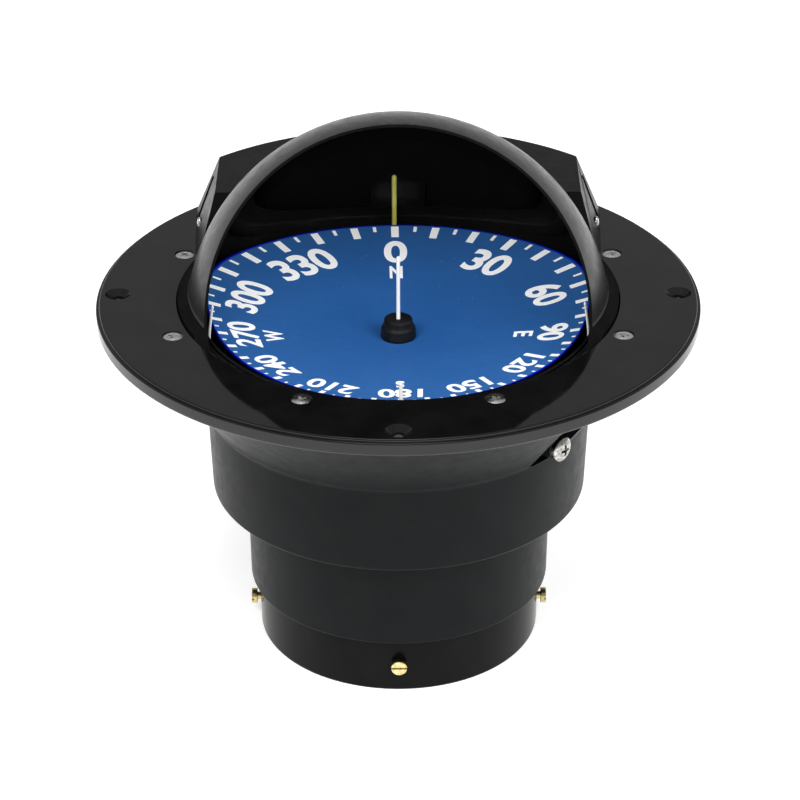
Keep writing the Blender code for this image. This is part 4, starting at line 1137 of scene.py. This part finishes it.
def make_inner_frame():
    """The bowl that hangs in the gimbal ring."""
    inner = bowl_arc(FRAME_BORE, FRAME_DEPTH - 0.0020)
    outer = bowl_arc(FRAME_RADIUS, FRAME_DEPTH)
    cut = 0.0003
    rim = [
        (FRAME_BORE, FRAME_TOP - cut),
        (FRAME_BORE + cut, FRAME_TOP),
        (FRAME_RADIUS - cut, FRAME_TOP),
        (FRAME_RADIUS, FRAME_TOP - cut),
    ]
    bowl = turned("bowl", inner[::-1] + rim + outer, closed=False)
    sockets = [pin_place(word) for word in PIN_ANGLES]
    span = through(sockets, FRAME_TOP - SOCKET_DEPTH, FRAME_TOP + PAST)
    combine(bowl, rods("sockets", span, SOCKET_RADIUS + GAP))
    pins = across((1, 0, 0), GIMBAL_HEIGHT)
    combine(bowl, rods("pin_holes", pins, GIMBAL_PIN_RADIUS + GAP))
    bottom = GIMBAL_HEIGHT - GIMBAL_HALF_HEIGHT - FRAME_DEPTH
    stem = [((0.0, 0.0, bottom - 0.002), (0.0, 0.0, bottom + 0.006))]
    combine(bowl, rods("stem_hole", stem, 0.0020 + GAP))
    mesh = shaded(finished_mesh(bowl), FRAME_BLACK)
    settle("inner_frame_bowl", mesh, "frame", "frame_black", "inner_frame")


def round_topped(radius, top, foot, surface):
    """The mesh of an upright rod on the axis with a round tip."""
    tip = arc((0.0, top - radius), radius, 90.0, 0.0, 6)
    rod = turned("rod", [*tip, (radius, foot), (0.0, foot)], SMALL_ROUND, closed=False)
    return shaded(finished_mesh(rod), surface)


def make_lubber_pins():
    """Four upright marks round the card, the forward one yellow."""
    foot = FRAME_TOP - SOCKET_DEPTH + GAP
    for word in PIN_ANGLES:
        forward = word == "forward"
        radius = FORWARD_PIN_RADIUS if forward else OTHER_PIN_RADIUS
        mesh = round_topped(radius, PIN_TOP, foot, PIN_YELLOW if forward else GLOWING_PIN_WHITE)
        mesh.transform(Matrix.Translation(pin_place(word)))
        slot = "pin_yellow" if forward else "pin_white"
        settle(f"lubber_mark_{word}", mesh, "frame", slot, f"lubber_pin_{word}")


# ---------------------------------------------------------------- card
def card_height(radius):
    """The card's upper surface: a shallow dish, steepest at the rim."""
    return CARD_CENTRE_HEIGHT + CARD_DISH * (radius / CARD_RADIUS) ** 3


def make_card():
    """The dished blue disc."""
    steps = 24
    width = CARD_RADIUS - CARD_EDGE - CARD_HOLE
    radii = [CARD_HOLE + width * i / steps for i in range(steps + 1)]
    upper = [(r, card_height(r)) for r in radii]
    rim_height = card_height(CARD_RADIUS)
    rim = [(CARD_RADIUS, rim_height - CARD_EDGE),
           (CARD_RADIUS, rim_height - CARD_THICKNESS + CARD_EDGE)]
    under = [(r, h - CARD_THICKNESS) for r, h in upper]
    mesh = shaded(finished_mesh(turned("dial", upper + rim + under[::-1])), DIAL_BLUE)
    settle("card_disc", mesh, "card_assembly", "card_blue", "card")


def lay_on_card(mesh):
    """Bends a flat mesh of print to the dish, its upper side proud and its lower side sunk."""
    for vert in mesh.vertices:
        height = card_height(math.hypot(vert.co.x, vert.co.y))
        vert.co.z = height + (PRINT_RISE if vert.co.z > 0 else -PRINT_SINK)


def bearing_turn(bearing):
    """The turn that carries print on the north side to a bearing, on the card as it rests."""
    return Matrix.Rotation(-math.radians(bearing + CARD_YAW), 4, "Z")


def tick_mesh(inner, width):
    """A radial bar on the north side, cut across so that it can follow the dish."""
    work = bmesh.new()
    bmesh.ops.create_cube(work, size=1.0)
    across = [edge for edge in work.edges if abs(edge.verts[0].co.y - edge.verts[1].co.y) > 0.5]
    bmesh.ops.subdivide_edges(work, edges=across, cuts=4, use_grid_fill=True)
    bmesh.ops.scale(work, vec=(width, TICK_OUTER - inner, 1.0), verts=work.verts)
    bmesh.ops.translate(work, vec=(0.0, (TICK_OUTER + inner) / 2, 0.0), verts=work.verts)
    mesh = bpy.data.meshes.new("tick")
    work.to_mesh(mesh)
    work.free()
    return mesh


def make_ticks():
    """A long mark every ten degrees and a short one halfway between."""
    for name, first, inner, width in (
        ("dial_marks_long", 0, LONG_TICK_INNER, LONG_TICK_WIDTH),
        ("dial_marks_short", 5, SHORT_TICK_INNER, SHORT_TICK_WIDTH),
    ):
        turns = [bearing_turn(bearing) for bearing in range(first, 360, 10)]
        mesh = finished_mesh(copies("ticks", tick_mesh(inner, width), turns))
        lay_on_card(mesh)
        settle(name, shaded(mesh, GLOWING_PRINT_WHITE), "card_assembly", "float_white")


def text_mesh(words, height, foot, widen, weight):
    """Words as a solid, standing on the radius foot on the north side with their tops outwards."""
    curve = bpy.data.curves.new("words", "FONT")
    curve.body = words
    curve.align_x = "CENTER"
    curve.size = 1.0
    curve.offset = weight
    curve.extrude = 0.5
    curve.resolution_u = 8
    curve.space_character = 0.98
    mesh = finished_mesh(add_object("words", curve))
    work = bmesh.new()
    work.from_mesh(mesh)
    bmesh.ops.remove_doubles(work, verts=work.verts, dist=0.0001)
    xs = [vert.co.x for vert in work.verts]
    ys = [vert.co.y for vert in work.verts]
    scale = height / (max(ys) - min(ys))
    middle = Vector(((max(xs) + min(xs)) / 2, min(ys), 0.0))
    bmesh.ops.translate(work, vec=-middle, verts=work.verts)
    bmesh.ops.scale(work, vec=(scale * widen, scale, 1.0), verts=work.verts)
    bmesh.ops.translate(work, vec=(0.0, foot, 0.0), verts=work.verts)
    work.to_mesh(mesh)
    work.free()
    return mesh


def make_numerals():
    """Degrees every thirty and the four cardinal letters."""
    marks = [(str(bearing), bearing, NUMERAL_HEIGHT, NUMERAL_FOOT, NUMERAL_WIDTH, NUMERAL_WEIGHT)
             for bearing in range(0, 360, 30)]
    marks += [(letter, 90 * i, LETTER_HEIGHT, LETTER_FOOT, widen, LETTER_WEIGHT)
              for i, (letter, widen) in enumerate(LETTER_WIDTHS.items())]
    for words, bearing, height, foot, widen, weight in marks:
        mesh = text_mesh(words, height, foot, widen, weight)
        mesh.transform(bearing_turn(bearing))
        lay_on_card(mesh)
        settle(f"dial_figure_{words}", shaded(mesh, GLOWING_PRINT_WHITE), "card_assembly", "float_white")


def make_hub():
    """The black cap at the card's middle, and the white rod that stands in it."""
    float_top = CARD_CENTRE_HEIGHT - CARD_THICKNESS - GAP
    foot = HUB_TOP - 0.0024
    hub = turned("hub", rounded([
        (ROD_RADIUS + GAP, HUB_TOP),
        (0.0037, HUB_TOP, 0.0005),
        (0.0038, HUB_TOP - 0.0020, 0.0003),
        (0.0044, HUB_TOP - 0.0024, 0.0003),
        (0.0047, CARD_CENTRE_HEIGHT + GAP, 0.0003),
        (0.0041, CARD_CENTRE_HEIGHT + GAP),
        (0.0041, float_top),
        (0.0030, float_top),
        (0.0030, HUB_SEAT),
        (0.0, HUB_SEAT),
        (0.0, foot),
        (ROD_RADIUS + GAP, foot),
    ]), MEDIUM_ROUND)
    mesh = shaded(finished_mesh(hub), FRAME_BLACK)
    settle("card_hub_cap", mesh, "card_assembly", "frame_black", "card_hub")
    rod = round_topped(ROD_RADIUS, ROD_TOP, foot + GAP, GLOWING_PIN_WHITE)
    settle("card_rod_turned", rod, "card_assembly", "pin_white", "card_rod")


# ---------------------------------------------------------------- carried-over nodes
CARRIED = (
    (STEEL, ("body_screw", "ring_screw", "cover_screw", "roll_pin", "pitch_pin", "pivot_stem")),
    (BRASS, ("ns_bearing", "ew_bearing", "frame_weight")),
    (RUBBER, ("dome_gasket", "housing_seal", "diaphragm")),
    (FRAME_BLACK, ("bottom_cover",)),
    (MAGNET, ("card_magnet", "ns_magnet", "ew_magnet", "ns_counter_magnet", "ew_counter_magnet")),
    (GEAR_WHITE, ("ns_gear", "ew_gear", "ns_counter_gear", "ew_counter_gear")),
    (FLOAT_WHITE, ("card_float",)),
    (JEWEL_RED, ("pivot_jewel",)),
)


def finish_carried_nodes():
    """Gives each CAD node that still shows its finish."""
    for node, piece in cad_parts.items():
        for surface, starts in CARRIED:
            if node.startswith(starts):
                for slot in piece.material_slots:
                    slot.material = surface


make_flange()
make_flange_screws()
make_dome()
make_hood()
make_hood_screws()
make_upper_housing()
make_filler_plug()
make_lower_housing()
make_compensator_ring()
make_shafts()
make_gimbal_ring()
make_inner_frame()
make_lubber_pins()
make_card()
make_ticks()
make_numerals()
make_hub()
finish_carried_nodes()


# ---------------------------------------------------------------- studio
def make_floor():
    """A plain pale floor."""
    work = bmesh.new()
    bmesh.ops.create_grid(work, x_segments=1, y_segments=1, size=6.0)
    floor = from_bmesh("floor", work)
    finish = Finish("floor_paper", 0.9, Specular_IOR_Level=0.0)
    grain = finish.spread(finish.noise(0.20), 0.0, 1.0)
    finish.colour(finish.blend(grain, (0.90, 0.90, 0.90), (0.92, 0.92, 0.92)))
    finish.shader.inputs["Emission Color"].default_value = (1.0, 1.0, 1.0, 1.0)
    finish.shader.inputs["Emission Strength"].default_value = 0.45
    floor.data.materials.append(finish.made)


def make_world():
    """Soft light that is bright near the horizon and dimmer above."""
    world = bpy.data.worlds.new("studio")
    bpy.context.scene.world = world
    world.use_nodes = True
    tree = world.node_tree
    place = tree.nodes.new("ShaderNodeTexCoord")
    parts = tree.nodes.new("ShaderNodeSeparateXYZ")
    ramp = tree.nodes.new("ShaderNodeValToRGB")
    tree.links.new(place.outputs["Generated"], parts.inputs["Vector"])
    tree.links.new(parts.outputs["Z"], ramp.inputs["Fac"])
    tree.links.new(ramp.outputs["Color"], tree.nodes["Background"].inputs["Color"])
    stops = ((0.0, 0.75), (0.15, 0.50), (0.32, 0.34), (0.60, 0.30), (1.0, 0.45))
    while len(ramp.color_ramp.elements) < len(stops):
        ramp.color_ramp.elements.new(0.5)
    for element, (height, level) in zip(ramp.color_ramp.elements, stops):
        element.position = height
        element.color = (level, level, level, 1.0)


def area_light(name, location, target, size, power, mirrored=False):
    """A soft lamp, which polished surfaces reflect only where mirrored is true."""
    light = bpy.data.lights.new(name, "AREA")
    light.shape = "DISK"
    light.size = size
    light.energy = power
    made = add_object(name, light)
    made.location = location
    aim = Vector(target) - Vector(location)
    made.rotation_euler = aim.to_track_quat("-Z", "Y").to_euler()
    made.visible_glossy = mirrored


def make_lights():
    middle = (0.0, 0.0, 0.12)
    area_light("key", (-0.55, -1.00, 1.45), middle, 1.0, 22.0)
    area_light("fill", (0.90, -0.90, 1.20), middle, 1.0, 18.0)
    area_light("top", (0.0, 0.35, 1.60), middle, 0.5, 3.0, mirrored=True)


def make_camera():
    """The camera looks down at the compass from the helmsman's side."""
    camera = bpy.data.cameras.new("camera")
    camera.sensor_width = 36.0
    camera.lens = 130.6
    camera.shift_x = 0.0019
    camera.clip_start = 0.01
    made = add_object("camera", camera)
    made.location = (0.0, -0.93016, 0.60096)
    aim = Vector((0.0, 0.0, 0.09205)) - made.location
    roll = Matrix.Rotation(math.radians(-0.139), 4, "Z")
    turn = aim.to_track_quat("-Z", "Y").to_matrix().to_4x4() @ roll
    made.rotation_euler = turn.to_euler()
    bpy.context.scene.camera = made


make_floor()
make_world()
make_lights()
make_camera()
bpy.context.scene.view_settings.view_transform = "Standard"
